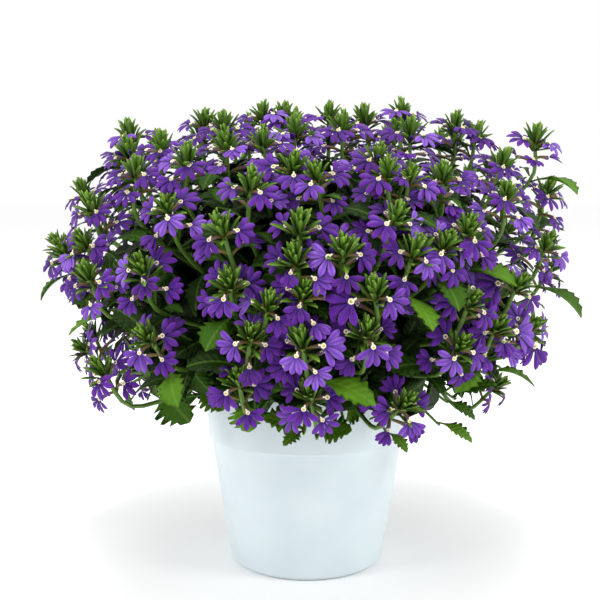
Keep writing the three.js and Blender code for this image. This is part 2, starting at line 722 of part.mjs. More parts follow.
// The inner bush of a cutting, which its shoots stand out of, on the woody foot that stands in the soil.
function cuttingBush(c) {
  const ball = new THREE.SphereGeometry(1, BUSH.columns, BUSH.rows).rotateX(Math.PI / 2);
  const place = ball.attributes.position;
  for (let i = 0; i < place.count; i++) {
    const way = new THREE.Vector3().fromBufferAttribute(place, i);
    const [x, y, z] = way.toArray().map((v) => Math.round(v * BUSH.steps));
    const reach = BUSH.share * (1 - BUSH.bumps * draw(x + y / 10, z));
    const p = BUSH.about.clone().lerp(onMound(way), reach);
    place.setXYZ(i, p.x, p.y, Math.max(p.z, POT.height + BUSH.overRim));
  }
  const half = Math.PI / CUTTING.count;
  const far = 2 * MOUND.radius;
  const [x, y] = [far * Math.cos(half), far * Math.sin(half)];
  const corners = [[2 * GAP, 0], [x, -y], [far, 0], [x, y]];
  const third = new THREE.Shape(corners.map((corner) => new THREE.Vector2(...corner)));
  const sector = new THREE.ExtrudeGeometry(third, { depth: far, bevelEnabled: false });
  const foot = upright(CUTTING.radius, SOIL.top - CUTTING.depth, BUSH.about.z, CUTTING.sides, cuttingFoot(c));
  return joined([solidOf(ball).intersect(solidOf(sector.rotateZ(cuttingBearing(c)))), foot]);
}

// Putting it together

const heads = makeHeads();
const near = (a, b) => a !== b && a.seat.distanceTo(b.seat) < NEIGHBOURS;

// Shoots that would cross belong to one cutting.
heads.forEach((head, i) => {
  const foreign = heads.slice(0, i).filter((other) => near(head, other) && head.cutting !== other.cutting);
  const crossed = foreign.find((other) => crosses(shoot(head), shoot(other)));
  if (crossed) head.cutting = crossed.cutting;
});
const shoots = heads.map(shoot);

const reaching = growTogether(heads, shoots);
const rings = [];
for (const head of heads) {
  const standing = shoots.filter((_, i) => head === heads[i] || near(head, heads[i]));
  const grown = rings.filter((_, i) => near(head, heads[i]));
  const reached = reaching.filter((one) => near(head, one.head)).map((one) => one.fan);
  rings.push(bloomRing(head, makeBlooms(head, [...standing, ...grown, ...reached])));
}

// Rings whose petals cross hold together as one bunch.
const bunchOf = groups(rings.length);
rings.forEach((ring, i) => {
  rings.slice(0, i).forEach((other, j) => crosses(ring, other) && bunchOf.join(i, j));
});
const bunches = [...Map.groupBy(rings.keys(), bunchOf.find).values()].map((members) =>
  joined(members.map((i) => rings[i])),
);

// What each cutting is made of: its bush, its shoots, a leaf on each shoot that has room, and low leaves.
const cuttings = Array.from({ length: CUTTING.count }, (_, c) => {
  return [cuttingBush(c), ...shoots.filter((_, i) => heads[i].cutting === c)];
});
const pot = makePot();
heads.forEach((head, i) => {
  if (head.number % head.leafEvery) return;
  const others = [pot, ...bunches, ...cuttings.flat().filter((piece) => piece !== shoots[i])];
  const made = shootLeaf(head, others);
  if (made) cuttings[head.cutting].push(made);
});
for (const place of LOW_LEAVES) {
  const c = cuttingOf(lowLeafRoot(place));
  cuttings[c].push(lowLeaf(place, c));
}

const white = new THREE.MeshStandardMaterial({ color: 0xe3ebee, roughness: 0.45, metalness: 0 });
const peat = new THREE.MeshStandardMaterial({ color: 0x33241a, roughness: 0.95, metalness: 0 });
const green = new THREE.MeshStandardMaterial({ color: 0x3a6a1e, roughness: 0.6, metalness: 0 });
const violet = new THREE.MeshStandardMaterial({ color: 0x5f34b4, roughness: 0.55, metalness: 0 });

const plant = new THREE.Group();
plant.add(meshOf("pot", pot, white));
plant.add(meshOf("soil", makeSoil(), peat));
cuttings.forEach((parts, c) => plant.add(meshOf(`cutting_${c + 1}`, joined(parts), green)));
bunches.forEach((bunch, i) => plant.add(meshOf(`blooms_${String(i + 1).padStart(2, "0")}`, bunch, violet)));

export default plant;
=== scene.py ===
# A potted fan flower: violet fan-shaped blooms stand in rings below green tufts, over a mound of toothed
# leaves, in a white plastic nursery pot. Metres, +Z up, -Y towards the viewer.
import json
import math
import random

import bmesh
import bpy
from mathutils import Matrix, Vector, noise

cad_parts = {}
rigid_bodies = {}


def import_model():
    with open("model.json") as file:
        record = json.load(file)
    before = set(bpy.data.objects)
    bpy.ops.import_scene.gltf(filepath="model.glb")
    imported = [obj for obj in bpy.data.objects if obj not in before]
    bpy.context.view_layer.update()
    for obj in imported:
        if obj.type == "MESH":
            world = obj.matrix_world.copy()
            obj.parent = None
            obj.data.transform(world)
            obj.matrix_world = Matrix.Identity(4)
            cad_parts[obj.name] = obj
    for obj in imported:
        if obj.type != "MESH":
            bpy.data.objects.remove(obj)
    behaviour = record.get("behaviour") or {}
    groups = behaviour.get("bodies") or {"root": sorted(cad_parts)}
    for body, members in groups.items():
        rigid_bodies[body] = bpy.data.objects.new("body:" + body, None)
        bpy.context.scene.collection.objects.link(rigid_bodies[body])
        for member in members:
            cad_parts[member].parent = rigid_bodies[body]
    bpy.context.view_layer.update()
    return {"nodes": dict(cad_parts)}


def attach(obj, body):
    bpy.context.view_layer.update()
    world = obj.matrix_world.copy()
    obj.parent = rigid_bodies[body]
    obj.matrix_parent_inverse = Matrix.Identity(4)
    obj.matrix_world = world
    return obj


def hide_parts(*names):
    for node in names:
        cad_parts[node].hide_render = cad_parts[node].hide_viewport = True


for leftover in list(bpy.data.objects):
    bpy.data.objects.remove(leftover)
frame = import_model()
scene = bpy.context.scene

MM = 0.001
UP = Vector((0, 0, 1))
TURN = 2 * math.pi


# The pot
# A 13 cm nursery pot, moulded in one shot from white polypropylene: a thin tapering wall, a band round the
# rim over a soft step, a round lip, and a flat foot with five drain holes. It comes out of the mould satin.

POT_HEIGHT = 118 * MM
RIM_RADIUS = 65 * MM
RIM_STEP = 2.4 * MM
RIM_TAPER = 0.6 * MM
BAND_FOOT = 84 * MM
FOOT_RADIUS = 49.5 * MM
FOOT_ROUND = 4 * MM
POT_WALL = 1.6 * MM
POT_FLOOR = 2.2 * MM
LIP_ROUND = 0.8 * MM
BAND_ROUND = 1.1 * MM
STEP_ROUND = 0.5 * MM
INNER_ROUND = 2 * MM
WALL_HEIGHTS = (20 * MM, 40 * MM, 60 * MM, 76 * MM)
POT_STEPS = 144
HOLES = 5
HOLE_RADIUS = 4 * MM
HOLE_RING = 30 * MM
DRILL_LENGTH = 12 * MM


def wall_radius(z):
    """The pot's outer radius below the band."""
    return FOOT_RADIUS + (RIM_RADIUS - RIM_STEP - FOOT_RADIUS) * z / BAND_FOOT


def inner_radius(z):
    """The pot's inner radius, which widens a little more inside the band."""
    in_band = max(z - BAND_FOOT, 0) / (POT_HEIGHT - BAND_FOOT)
    return wall_radius(min(z, BAND_FOOT)) - POT_WALL + RIM_STEP * in_band


def arc(radius, z, size, start, end, count=6):
    """A round corner in a profile: its centre, its size, and its first and last angle in degrees."""
    angles = [math.radians(start + (end - start) * i / count) for i in range(count + 1)]
    return [(radius + size * math.cos(a), z + size * math.sin(a)) for a in angles]


def mesh_of(shape, name):
    """A finished shape's mesh."""
    mesh = bpy.data.meshes.new(name)
    shape.to_mesh(mesh)
    shape.free()
    return mesh


def turned(name, profile, steps):
    """A closed mesh of revolution, from a profile of radius and height that starts and ends on the axis."""
    shape = bmesh.new()
    first, last = (shape.verts.new((0, 0, profile[i][1])) for i in (0, -1))
    rings = []
    for radius, z in profile[1:-1]:
        angles = [TURN * i / steps for i in range(steps)]
        rings.append([shape.verts.new((radius * math.cos(a), radius * math.sin(a), z)) for a in angles])
    for i in range(steps):
        j = (i + 1) % steps
        shape.faces.new((first, rings[0][j], rings[0][i]))
        shape.faces.new((last, rings[-1][i], rings[-1][j]))
        for below, above in zip(rings, rings[1:]):
            shape.faces.new((below[i], below[j], above[j], above[i]))
    mesh = mesh_of(shape, name)
    mesh.shade_smooth()
    return mesh


def linear(colour):
    """An sRGB hex colour as linear red, green, blue and alpha."""
    shares = [int(colour[i : i + 2], 16) / 255 for i in (1, 3, 5)]
    return [s / 12.92 if s <= 0.04045 else ((s + 0.055) / 1.055) ** 2.4 for s in shares] + [1]


def add(tree, kind, inputs=None, **settings):
    """A node with its settings; each of its inputs, by name or number, is given a value or a link."""
    node = tree.nodes.new(kind)
    for name, value in settings.items():
        setattr(node, name, value)
    for key, value in (inputs or {}).items():
        if isinstance(value, bpy.types.NodeSocket):
            tree.links.new(value, node.inputs[key])
        else:
            node.inputs[key].default_value = value
    return node


def new_finish(name):
    """A material of that name and its empty node tree."""
    material = bpy.data.materials.new(name)
    material.use_nodes = True
    material.node_tree.nodes.clear()
    return material, material.node_tree


def in_object(tree):
    """The place on the piece in its own coordinates."""
    return add(tree, "ShaderNodeTexCoord").outputs["Object"]


def speckle(tree, size, detail):
    """Soft noise through the piece, with clouds of a size in millimetres."""
    inputs = {"Vector": in_object(tree), "Scale": 1 / (size * MM), "Detail": detail}
    return add(tree, "ShaderNodeTexNoise", inputs).outputs[0]


def calc(tree, operation, *values):
    """The result of a sum."""
    return add(tree, "ShaderNodeMath", dict(enumerate(values)), operation=operation).outputs[0]


def ranged(tree, value, low, high, to_low=0.0, to_high=1.0):
    """A value taken from one range to another."""
    ends = {"From Min": low, "From Max": high, "To Min": to_low, "To Max": to_high}
    return add(tree, "ShaderNodeMapRange", {"Value": value, **ends}).outputs[0]


def ramp(tree, value, stops):
    """The colour at a value between stops of place and sRGB hex colour."""
    node = add(tree, "ShaderNodeValToRGB", {"Fac": value})
    elements = node.color_ramp.elements
    while len(elements) < len(stops):
        elements.new(0.5)
    for element, (place, colour) in zip(elements, stops):
        element.position = place
        element.color = linear(colour)
    return node.outputs["Color"]


def blend(tree, share, colour, other):
    """Two colours mixed by a share."""
    return add(tree, "ShaderNodeMix", {0: share, 6: colour, 7: other}, data_type="RGBA").outputs[2]


def brightened(tree, colour, light):
    """A colour made lighter or darker."""
    return add(tree, "ShaderNodeHueSaturation", {"Value": light, "Color": colour}).outputs[0]


def bumped(tree, height, strength, depth, over=None):
    """Relief of a depth in millimetres, over other relief if there is any."""
    inputs = {"Strength": strength, "Distance": depth * MM, "Height": height}
    if over:
        inputs["Normal"] = over
    return add(tree, "ShaderNodeBump", inputs).outputs[0]


def coat(tree, colour, rough, relief, **more):
    """Ends a finish with its colour, roughness and relief, and what else sets its gloss."""
    inputs = {"Base Color": colour, "Roughness": rough, "Normal": relief}
    inputs.update({name.replace("_", " "): value for name, value in more.items()})
    surface = add(tree, "ShaderNodeBsdfPrincipled", inputs)
    add(tree, "ShaderNodeOutputMaterial", {"Surface": surface.outputs[0]})


def in_scene(name, data):
    """A new object in the scene."""
    placed = bpy.data.objects.new(name, data)
    scene.collection.objects.link(placed)
    return placed


def show(name, mesh, slot, *nodes):
    """Shows a mesh as a piece of the object, in place of the nodes that are named."""
    piece = in_scene(name, mesh)
    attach(piece, "root")
    if nodes:
        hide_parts(*nodes)


# Satin polypropylene: white with a cool tint, a fine moulded grain and no sharp highlight.
plastic, tree = new_finish("white polypropylene")
clouds = speckle(tree, 30, 3)
colour = ramp(tree, clouds, [(0.3, "#c9d5da"), (0.7, "#d0dbdf")])
rough = ranged(tree, clouds, 0, 1, 0.34, 0.46)
coat(tree, colour, rough, bumped(tree, speckle(tree, 0.7, 2), 0.12, 0.1), IOR=1.49)

band_radius = RIM_RADIUS - RIM_TAPER
profile = [
    (0, 0),
    *arc(FOOT_RADIUS - FOOT_ROUND, FOOT_ROUND, FOOT_ROUND, -90, -9, 10),
    *((wall_radius(z), z) for z in WALL_HEIGHTS),
    *arc(wall_radius(BAND_FOOT) + STEP_ROUND, BAND_FOOT - STEP_ROUND, STEP_ROUND, 180, 90, 4),
    *arc(band_radius - BAND_ROUND, BAND_FOOT + BAND_ROUND, BAND_ROUND, -90, 2, 8),
    *arc(RIM_RADIUS - LIP_ROUND, POT_HEIGHT - LIP_ROUND, LIP_ROUND, 0, 180, 10),
    (wall_radius(BAND_FOOT) - POT_WALL, BAND_FOOT),
    *arc(wall_radius(0) - POT_WALL - INNER_ROUND, POT_FLOOR + INNER_ROUND, INNER_ROUND, 0, -90, 6),
    (0, POT_FLOOR),
]
pot_mesh = turned("pot", profile, POT_STEPS)
drill_bit = {"cap_ends": True, "segments": 32, "radius1": HOLE_RADIUS, "radius2": HOLE_RADIUS}
holes = bmesh.new()
for i in range(HOLES):
    place = Matrix.Rotation(TURN * i / HOLES, 4, "Z") @ Matrix.Translation((HOLE_RING, 0, 0))
    bmesh.ops.create_cone(holes, matrix=place, depth=DRILL_LENGTH, **drill_bit)
drill = in_scene("drain holes", mesh_of(holes, "drain holes"))
blank = in_scene("pot blank", pot_mesh)
cut = blank.modifiers.new("drain holes", "BOOLEAN")
cut.object = drill
cut.solver = "EXACT"


def settled(maker):
    """The mesh of an object with its modifiers applied; the object itself goes."""
    ready = bpy.context.evaluated_depsgraph_get()
    made = maker.evaluated_get(ready)
    mesh = bpy.data.meshes.new_from_object(made, preserve_all_data_layers=True, depsgraph=ready)
    bpy.data.objects.remove(maker)
    return mesh


pot_mesh = settled(blank)
bpy.data.objects.remove(drill)
pot_mesh.materials.clear()
pot_mesh.materials.append(plastic)
pot_mesh.shade_smooth()
pot_mesh.set_sharp_from_angle(angle=math.radians(40))
show("white_pot", pot_mesh, "white_plastic", "pot")


# The soil
# Peat-based potting compost, filled to a finger's width under the rim and settled: a dark crumbly surface
# that falls a little towards the wall, with loose crumbs lying on it.

SOIL_TOP = 107 * MM
SOIL_DROP = 3 * MM
SOIL_CLEAR = 1.6 * MM
SOIL_RINGS = 36
SOIL_STEPS = 120
SOIL_UNDER = 0.4 * MM
LUMP = 7 * MM
LUMP_HEIGHT = 0.9 * MM


def soil_radius(z):
    """How far the soil reaches out inside the pot's wall."""
    return inner_radius(z) - SOIL_CLEAR


def soil_height(x, y):
    """The height of the crumbly surface, lumps on lumps."""
    reach = math.hypot(x, y) / soil_radius(SOIL_TOP)
    lumps = noise.fractal(Vector((x, y, 0)) / LUMP, 0.7, 2.1, 4)
    return SOIL_TOP - SOIL_DROP * reach**4 + LUMP_HEIGHT * lumps


# Damp peat: nearly black brown with paler dry fibres, fully matte.
peat, tree = new_finish("peat compost")
crumb = speckle(tree, 1.6, 6)
cells = {"Vector": in_object(tree), "Scale": 1 / (2.4 * MM)}
bits = add(tree, "ShaderNodeTexVoronoi", cells).outputs["Distance"]
colour = ramp(tree, crumb, [(0.3, "#120c08"), (0.5, "#2c1e14"), (0.68, "#4a3524"), (0.8, "#6f563c")])
coat(tree, colour, 0.95, bumped(tree, bits, 0.5, 0.6, over=bumped(tree, crumb, 0.7, 0.8)))

soil_floor = POT_FLOOR + SOIL_UNDER
edge = soil_radius(SOIL_TOP - SOIL_DROP)
profile = [
    (0, soil_floor),
    (soil_radius(soil_floor), soil_floor),
    (edge, SOIL_TOP - SOIL_DROP),
    *((edge * (1 - i / SOIL_RINGS), SOIL_TOP) for i in range(1, SOIL_RINGS)),
    (0, SOIL_TOP),
]
soil_mesh = turned("soil", profile, SOIL_STEPS)
for corner in soil_mesh.vertices:
    if corner.co.z > SOIL_TOP - SOIL_DROP - MM:
        corner.co.z = soil_height(corner.co.x, corner.co.y)
soil_mesh.materials.append(peat)
show("potting_soil", soil_mesh, "peat", "soil")


# Shapes on sites
# What repeats stands on sites: points that carry the way a shape grows, the way it faces, its size, which of
# the shapes it is, and its tone. One node tree stands the shapes there, each a little different.


def new_growth(name, inputs, output):
    """An empty node tree that makes geometry, with named inputs, and the sockets that give them."""
    tree = bpy.data.node_groups.new(name, "GeometryNodeTree")
    for label, kind in inputs.items():
        tree.interface.new_socket(label, in_out="INPUT", socket_type="NodeSocket" + kind)
    tree.interface.new_socket(output, in_out="OUTPUT", socket_type="NodeSocketGeometry")
    return tree, add(tree, "NodeGroupInput").outputs


def carried(tree, name, kind):
    """What each point carries under a name."""
    return add(tree, "GeometryNodeInputNamedAttribute", {"Name": name}, data_type=kind).outputs[0]


def sites_tree():
    """Stands the shapes of a collection on the points of a mesh."""
    inputs = {
        "Sites": "Geometry",
        "Shapes": "Collection",
        "Finish": "Material",
        "Size spread": "Float",
        "Sway": "Float",
        "Seed": "Int",
    }
    tree, given = new_growth("shapes on sites", inputs, "Plants")
    way, face, own_size = (carried(tree, name, "FLOAT_VECTOR") for name in ("way", "face", "size"))
    axes = {"Primary Axis": way, "Secondary Axis": face}
    stand = add(tree, "FunctionNodeAxesToRotation", axes, primary_axis="Y", secondary_axis="Z").outputs[0]
    ends = {0: (-1, -1, -1), 1: (1, 1, 1), "Seed": given["Seed"]}
    wind = add(tree, "FunctionNodeRandomValue", ends, data_type="FLOAT_VECTOR").outputs[0]
    swayed = {0: wind, "Scale": given["Sway"]}
    swayed = add(tree, "ShaderNodeVectorMath", swayed, operation="SCALE").outputs[0]
    bent = add(tree, "FunctionNodeEulerToRotation", {0: swayed}).outputs[0]
    turn = add(tree, "FunctionNodeRotateRotation", {0: stand, 1: bent}, rotation_space="LOCAL").outputs[0]
    least = calc(tree, "SUBTRACT", 1.0, given["Size spread"])
    most = calc(tree, "ADD", 1.0, given["Size spread"])
    drawn = add(tree, "FunctionNodeRandomValue", {2: least, 3: most, "Seed": given["Seed"]}).outputs[1]
    scale = {0: own_size, "Scale": drawn}
    scale = add(tree, "ShaderNodeVectorMath", scale, operation="SCALE").outputs[0]
    shapes = {"Collection": given["Shapes"], "Separate Children": True, "Reset Children": True}
    shapes = add(tree, "GeometryNodeCollectionInfo", shapes).outputs[0]
    placed = {
        "Points": given["Sites"],
        "Instance": shapes,
        "Pick Instance": True,
        "Instance Index": carried(tree, "kind", "INT"),
        "Rotation": turn,
        "Scale": scale,
    }
    placed = add(tree, "GeometryNodeInstanceOnPoints", placed).outputs[0]
    real = add(tree, "GeometryNodeRealizeInstances", {"Geometry": placed}).outputs[0]
    real = add(tree, "GeometryNodeSetMaterial", {"Geometry": real, "Material": given["Finish"]}).outputs[0]
    add(tree, "NodeGroupOutput", {"Plants": real})
    return tree


shapes_on_sites = sites_tree()


def grown(tree, mesh, **named):
    """The mesh that a node tree makes of another, with the tree's inputs set by name."""
    maker = in_scene("maker", mesh)
    modifier = maker.modifiers.new("growth", "NODES")
    modifier.node_group = tree
    for socket in tree.interface.items_tree:
        name = socket.name.replace(" ", "_").lower()
        if socket.in_out == "INPUT" and name in named:
            modifier[socket.identifier] = named[name]
    return settled(maker)


def collection_of(name, meshes):
    """An unshown collection of shapes, in the order of their numbers."""
    group = bpy.data.collections.new(name)
    for i, mesh in enumerate(meshes):
        group.objects.link(bpy.data.objects.new(f"{name} {i:02d}", mesh))
    return group


class Site:
    """Where one shape stands."""

    def __init__(self, place, way, face, size=(1, 1, 1), kind=0, tone=0.5):
        self.place = place
        self.way = way
        self.face = face
        self.size = size
        self.kind = kind
        self.tone = tone


def on_sites(sites, shapes, finish, size_spread=0.0, sway=0.0, seed=1):
    """One mesh of all the shapes on their sites."""
    mesh = bpy.data.meshes.new("sites")
    mesh.from_pydata([site.place for site in sites], [], [])
    for name in ("way", "face", "size"):
        values = [number for site in sites for number in getattr(site, name)]
        mesh.attributes.new(name, "FLOAT_VECTOR", "POINT").data.foreach_set("vector", values)
    for name, kind in (("kind", "INT"), ("tone", "FLOAT")):
        values = [getattr(site, name) for site in sites]
        mesh.attributes.new(name, kind, "POINT").data.foreach_set("value", values)
    look = {"size_spread": size_spread, "sway": sway, "seed": seed}
    return grown(shapes_on_sites, mesh, shapes=shapes, finish=finish, **look)


def crumb_shape(seed):
    """A rough crumb about 1 mm across."""
    draws = random.Random(seed)
    shape = bmesh.new()
    bmesh.ops.create_icosphere(shape, subdivisions=1, radius=0.5 * MM)
    for corner in shape.verts:
        corner.co *= draws.uniform(0.7, 1.3)
    return mesh_of(shape, "crumb")


CRUMBS = 700
CRUMB_REACH = 0.97

draws = random.Random(11)
crumb_sites = []
for i in range(CRUMBS):
    reach = soil_radius(SOIL_TOP) * CRUMB_REACH * math.sqrt(draws.random())
    angle = TURN * draws.random()
    x, y = reach * math.cos(angle), reach * math.sin(angle)
    lying = Vector((draws.gauss(0, 1), draws.gauss(0, 1), draws.gauss(0, 1)))
    size = draws.uniform(0.8, 3.2)
    sizes = (size, size * draws.uniform(0.6, 1), size)
    crumb_sites.append(Site(Vector((x, y, soil_height(x, y))), lying, UP, sizes, i % 3))
crumbs = collection_of("crumb", [crumb_shape(seed) for seed in (1, 2, 3)])
show("soil_crumbs", on_sites(crumb_sites, crumbs, peat), "peat")


# Where the heads, the blooms and the leaves stand
# The frame's solids say it. A tuft's peak stands over four or five valleys; a bloom's throat has a front and
# a back corner 1.4 mm apart where its rim's edges meet, and so has a leaf's middle.

TUFT_HEIGHT = 17 * MM
PEAK_TO_VALLEY = 11.33 * MM
THICKNESS = 1.4 * MM
BUSY = 8  # a thin piece's front and back corners have at least so many edges, a low leaf's more
CLOSE = 0.06 * MM
SAME_PLACE = 0.01 * MM
MOUND_MIDDLE = Vector((0, 0, 190 * MM))
MOUND_RADIUS = 165 * MM
MOUND_ABOVE = 99 * MM
MOUND_BELOW = 108 * MM
MOUND_FULLNESS = 2.5


def mound_level(p):
    """1 on the surface of the mound that the tufts stand on, less inside it."""
    reach = math.hypot(p.x, p.y) / MOUND_RADIUS
    above = p.z > MOUND_MIDDLE.z
    rise = abs(p.z - MOUND_MIDDLE.z) / (MOUND_ABOVE if above else MOUND_BELOW)
    return (reach**MOUND_FULLNESS + rise**MOUND_FULLNESS) ** (1 / MOUND_FULLNESS)


def mound_facing(p):
    """The way the mound faces at a point."""
    steps = (Vector((MM, 0, 0)), Vector((0, MM, 0)), Vector((0, 0, MM)))
    return Vector([mound_level(p + step) - mound_level(p - step) for step in steps]).normalized()


def on_mound(way, share=1.0):
    """The mound's point in a direction from its middle, or the point at a share of the way to it."""
    return MOUND_MIDDLE + way * (share / mound_level(MOUND_MIDDLE + way))


def solid_of(node):
    """A copy of a node's solid with its loose triangles joined."""
    solid = bmesh.new()
    solid.from_mesh(frame["nodes"][node].data)
    bmesh.ops.remove_doubles(solid, verts=solid.verts, dist=SAME_PLACE)
    return solid


def around(corner):
    """The corners that a corner's edges lead to."""
    return [edge.other_vert(corner).co.copy() for edge in corner.link_edges]


def pairs_in(solid):
    """The front and back corners of thin pieces: pairs of busy corners a thickness apart."""
    busy = [corner for corner in solid.verts if len(corner.link_edges) >= BUSY]
    for i, a in enumerate(busy):
        for b in busy[i + 1 :]:
            if abs((a.co - b.co).length - THICKNESS) < CLOSE:
                yield a, b


LIT_FROM = 55 * MM
LIT_OVER = 60 * MM
LIGHT = Vector((0, -1.1, 0.1))


class Head:
    """A shoot's end: a tuft, and under it the seat of a ring of blooms, which turn towards the light.

    The plant grew with the photographed side to the light.
    """

    def __init__(self, seat, axis, cutting, number):
        self.seat = seat
        self.axis = axis
        self.cutting = cutting
        self.outward = mound_facing(seat)
        lit = min(max((LIT_FROM - seat.y) / LIT_OVER, 0), 1)
        self.sunward = (self.outward + LIGHT * lit).normalized()
        self.blooms = []
        self.bunch = None
        self.draws = random.Random(1000 + number)

    def at(self, bearing):
        """The direction square to the stem at a bearing, from the side that faces away from the mound."""
        across = (self.outward - self.axis * self.outward.dot(self.axis)).normalized()
        return Matrix.Rotation(bearing, 3, self.axis) @ across

    def bearing_of(self, way):
        """The bearing round the stem of a direction."""
        across = self.at(0)
        return math.atan2(way.dot(self.axis.cross(across)), way.dot(across)) % TURN


LEAF_MIDDLE = 0.6


def low_leaf_ends(middle, face, ring):
    """The root and the tip of a low leaf, whose corners mirror each other across its midrib.

    Its stalk has cut away the corner at the root, and of its two ends the tip is nearer the viewer.
    """

    def mirrored(p):
        across = (p - middle).cross(face).normalized()
        twins = [q - across * 2 * (q - middle).dot(across) for q in ring]
        return sum(min((twin - q).length for q in ring) < CLOSE for twin in twins)

    def along(p):
        return (p - middle) - face * (p - middle).dot(face)

    tip = max((p for p in ring if along(p).y < 0), key=mirrored)
    return tip - along(tip) / (1 - LEAF_MIDDLE), tip


FIRST_THIRD = math.radians(30)
cuttings = [f"cutting_{i}" for i in (1, 2, 3)]
bunches = sorted(node for node in frame["nodes"] if node.startswith("blooms"))


def cutting_at(place):
    """The cutting in whose third of the mound a place lies."""
    angle = (math.atan2(place.y, place.x) - FIRST_THIRD) % TURN
    return cuttings[int(angle / (TURN / len(cuttings)))]


heads = []
leaf_places = []
for cutting in cuttings:
    solid = solid_of(cutting)
    for corner in solid.verts:
        ring = around(corner)
        valleys = [p for p in ring if abs((p - corner.co).length - PEAK_TO_VALLEY) < CLOSE]
        if len(valleys) in (4, 5):
            axis = (corner.co - sum(valleys, Vector()) / len(valleys)).normalized()
            heads.append(Head(corner.co - axis * TUFT_HEIGHT, axis, cutting, len(heads)))
    for a, b in pairs_in(solid):
        middle = (a.co + b.co) / 2
        face = (a.co - b.co).normalized()
        if face.dot(Vector((middle.x, middle.y, 0)).normalized() + UP) < 0:
            face = -face
        low = len(a.link_edges) > BUSY
        if low:
            root, tip = low_leaf_ends(middle, face, around(a))
        else:
            root = max(around(a), key=lambda p: (p - middle).length)
            back = (middle - root).normalized()
            tip = max(around(a), key=lambda p: (p - middle).dot(back))
        side = (tip - root).normalized().cross(face)
        half_width = max(abs((p - middle).dot(side)) for p in around(a))
        leaf_places.append((cutting, root, tip, face, half_width, low))
    solid.free()


class Bloom:
    """One fan: its throat, the way its middle petal points, the way it faces, its spread and its length."""

    def __init__(self, throat, along, face, spread, length, added=False):
        self.added = added
        self.throat = throat
        self.along = along
        self.face = face
        self.spread = spread
        self.length = length


THROAT_RISE = 2 * MM
STEM_ROOM = 3 * MM
EAR_TURN = 20
for bunch in bunches:
    solid = solid_of(bunch)
    for a, b in pairs_in(solid):
        head = min(heads, key=lambda one: (one.seat - a.co).length)
        front, back = (a, b) if (a.co - b.co).dot(head.axis) > 0 else (b, a)
        face = (front.co - back.co).normalized()
        out = (front.co - head.seat - head.axis * THROAT_RISE).normalized()
        side = face.cross(out).normalized()
        along = side.cross(face)
        rim = []
        for p in around(front):
            stem = p - head.seat
            if (stem - head.axis * stem.dot(head.axis)).length > STEM_ROOM:
                rim.append(p - front.co)
        ear = max(abs(math.degrees(math.atan2(p.dot(side), p.dot(along)))) for p in rim)
        length = max(p.length for p in rim)
        head.blooms.append(Bloom(front.co.copy(), along, face, ear - EAR_TURN, length))
        head.bunch = bunch
    solid.free()


# More heads and blooms than the solids hold
# The plant is as full at the back as at the front, and a ring of older blooms stands under the first one.

GOLDEN_ANGLE = math.pi * (3 - math.sqrt(5))
MORE_PLACES = 900
MORE_FLATTER = 0.75
MORE_SHARE = 0.985
MORE_SPACING = 33 * MM
MORE_LOWEST = 112 * MM


def spread_way(i, count):
    """The i-th of a count of directions that are spread evenly by a golden-angle spiral."""
    rise = 1 - 2 * (i + 0.5) / count
    across = math.sqrt(1 - rise * rise)
    return Vector((across * math.cos(i * GOLDEN_ANGLE), across * math.sin(i * GOLDEN_ANGLE), rise))


for i in range(MORE_PLACES):
    way = spread_way(i, MORE_PLACES)
    way.z *= MORE_FLATTER
    tuft = on_mound(way, MORE_SHARE)
    seat = tuft - (mound_facing(tuft) * 0.5 + UP * 0.65).normalized() * TUFT_HEIGHT / 2
    if tuft.y < 0 or tuft.z < MORE_LOWEST:
        continue
    if min((seat - head.seat).length for head in heads) > MORE_SPACING:
        heads.append(Head(seat, (tuft - seat).normalized(), cutting_at(seat), len(heads)))

OPEN_SPREAD = 72
SECOND_SPREADS = (72, 72, 54, 40)
FAN_LENGTH = 12 * MM
FIRST_REACH = 8.5 * MM
SECOND_REACH = 11 * MM
SECOND_DROP = 9 * MM
SECOND_GAP = math.radians(56)
THROAT_ROOM = 8 * MM


def open_fan(head, bearing, drop, reach, spread, length):
    """A bloom at a bearing round a head's stem, some way down it."""
    out = head.at(bearing)
    throat = head.seat + out * reach + head.axis * (THROAT_RISE - drop)
    face = (out * 0.5 + head.axis * 0.5 + head.outward * 0.3).normalized()
    side = face.cross(out).normalized()
    return Bloom(throat, side.cross(face), face, spread, length, added=True)


throats = [bloom.throat for head in heads for bloom in head.blooms]
for head in heads:
    taken = [head.bearing_of(bloom.throat - head.seat) for bloom in head.blooms]
    wanted = []
    if not taken:
        first = TURN * head.draws.random()
        wanted = [(first + TURN * i / 3, 0.0, FIRST_REACH) for i in range(3)]
        taken = [bearing for bearing, _, _ in wanted]
    gaps = sorted(taken)
    for i, bearing in enumerate(gaps):
        gap = (gaps[(i + 1) % len(gaps)] - bearing) % TURN or TURN
        if gap > SECOND_GAP:
            drop = SECOND_DROP * head.draws.uniform(0.75, 1.25)
            wanted.append((bearing + gap / 2, drop, SECOND_REACH))
    for bearing, drop, reach in wanted:
        spread = OPEN_SPREAD if drop == 0 else head.draws.choice(SECOND_SPREADS)
        bloom = open_fan(head, bearing, drop, reach, spread, FAN_LENGTH * head.draws.uniform(0.88, 1.0))
        if min((bloom.throat - throat).length for throat in throats) > THROAT_ROOM:
            head.blooms.append(bloom)
            throats.append(bloom.throat)


SUN_TURNS = (0.8, 0.45)
FAR_HEAD = 45 * MM
FAN_HALF, FAN_MOST = 4.5 * MM, 9 * MM
TUFT_LOW, TUFT_HIGH = -2 * MM, 13 * MM
TUFT_ROOM = 7.5 * MM


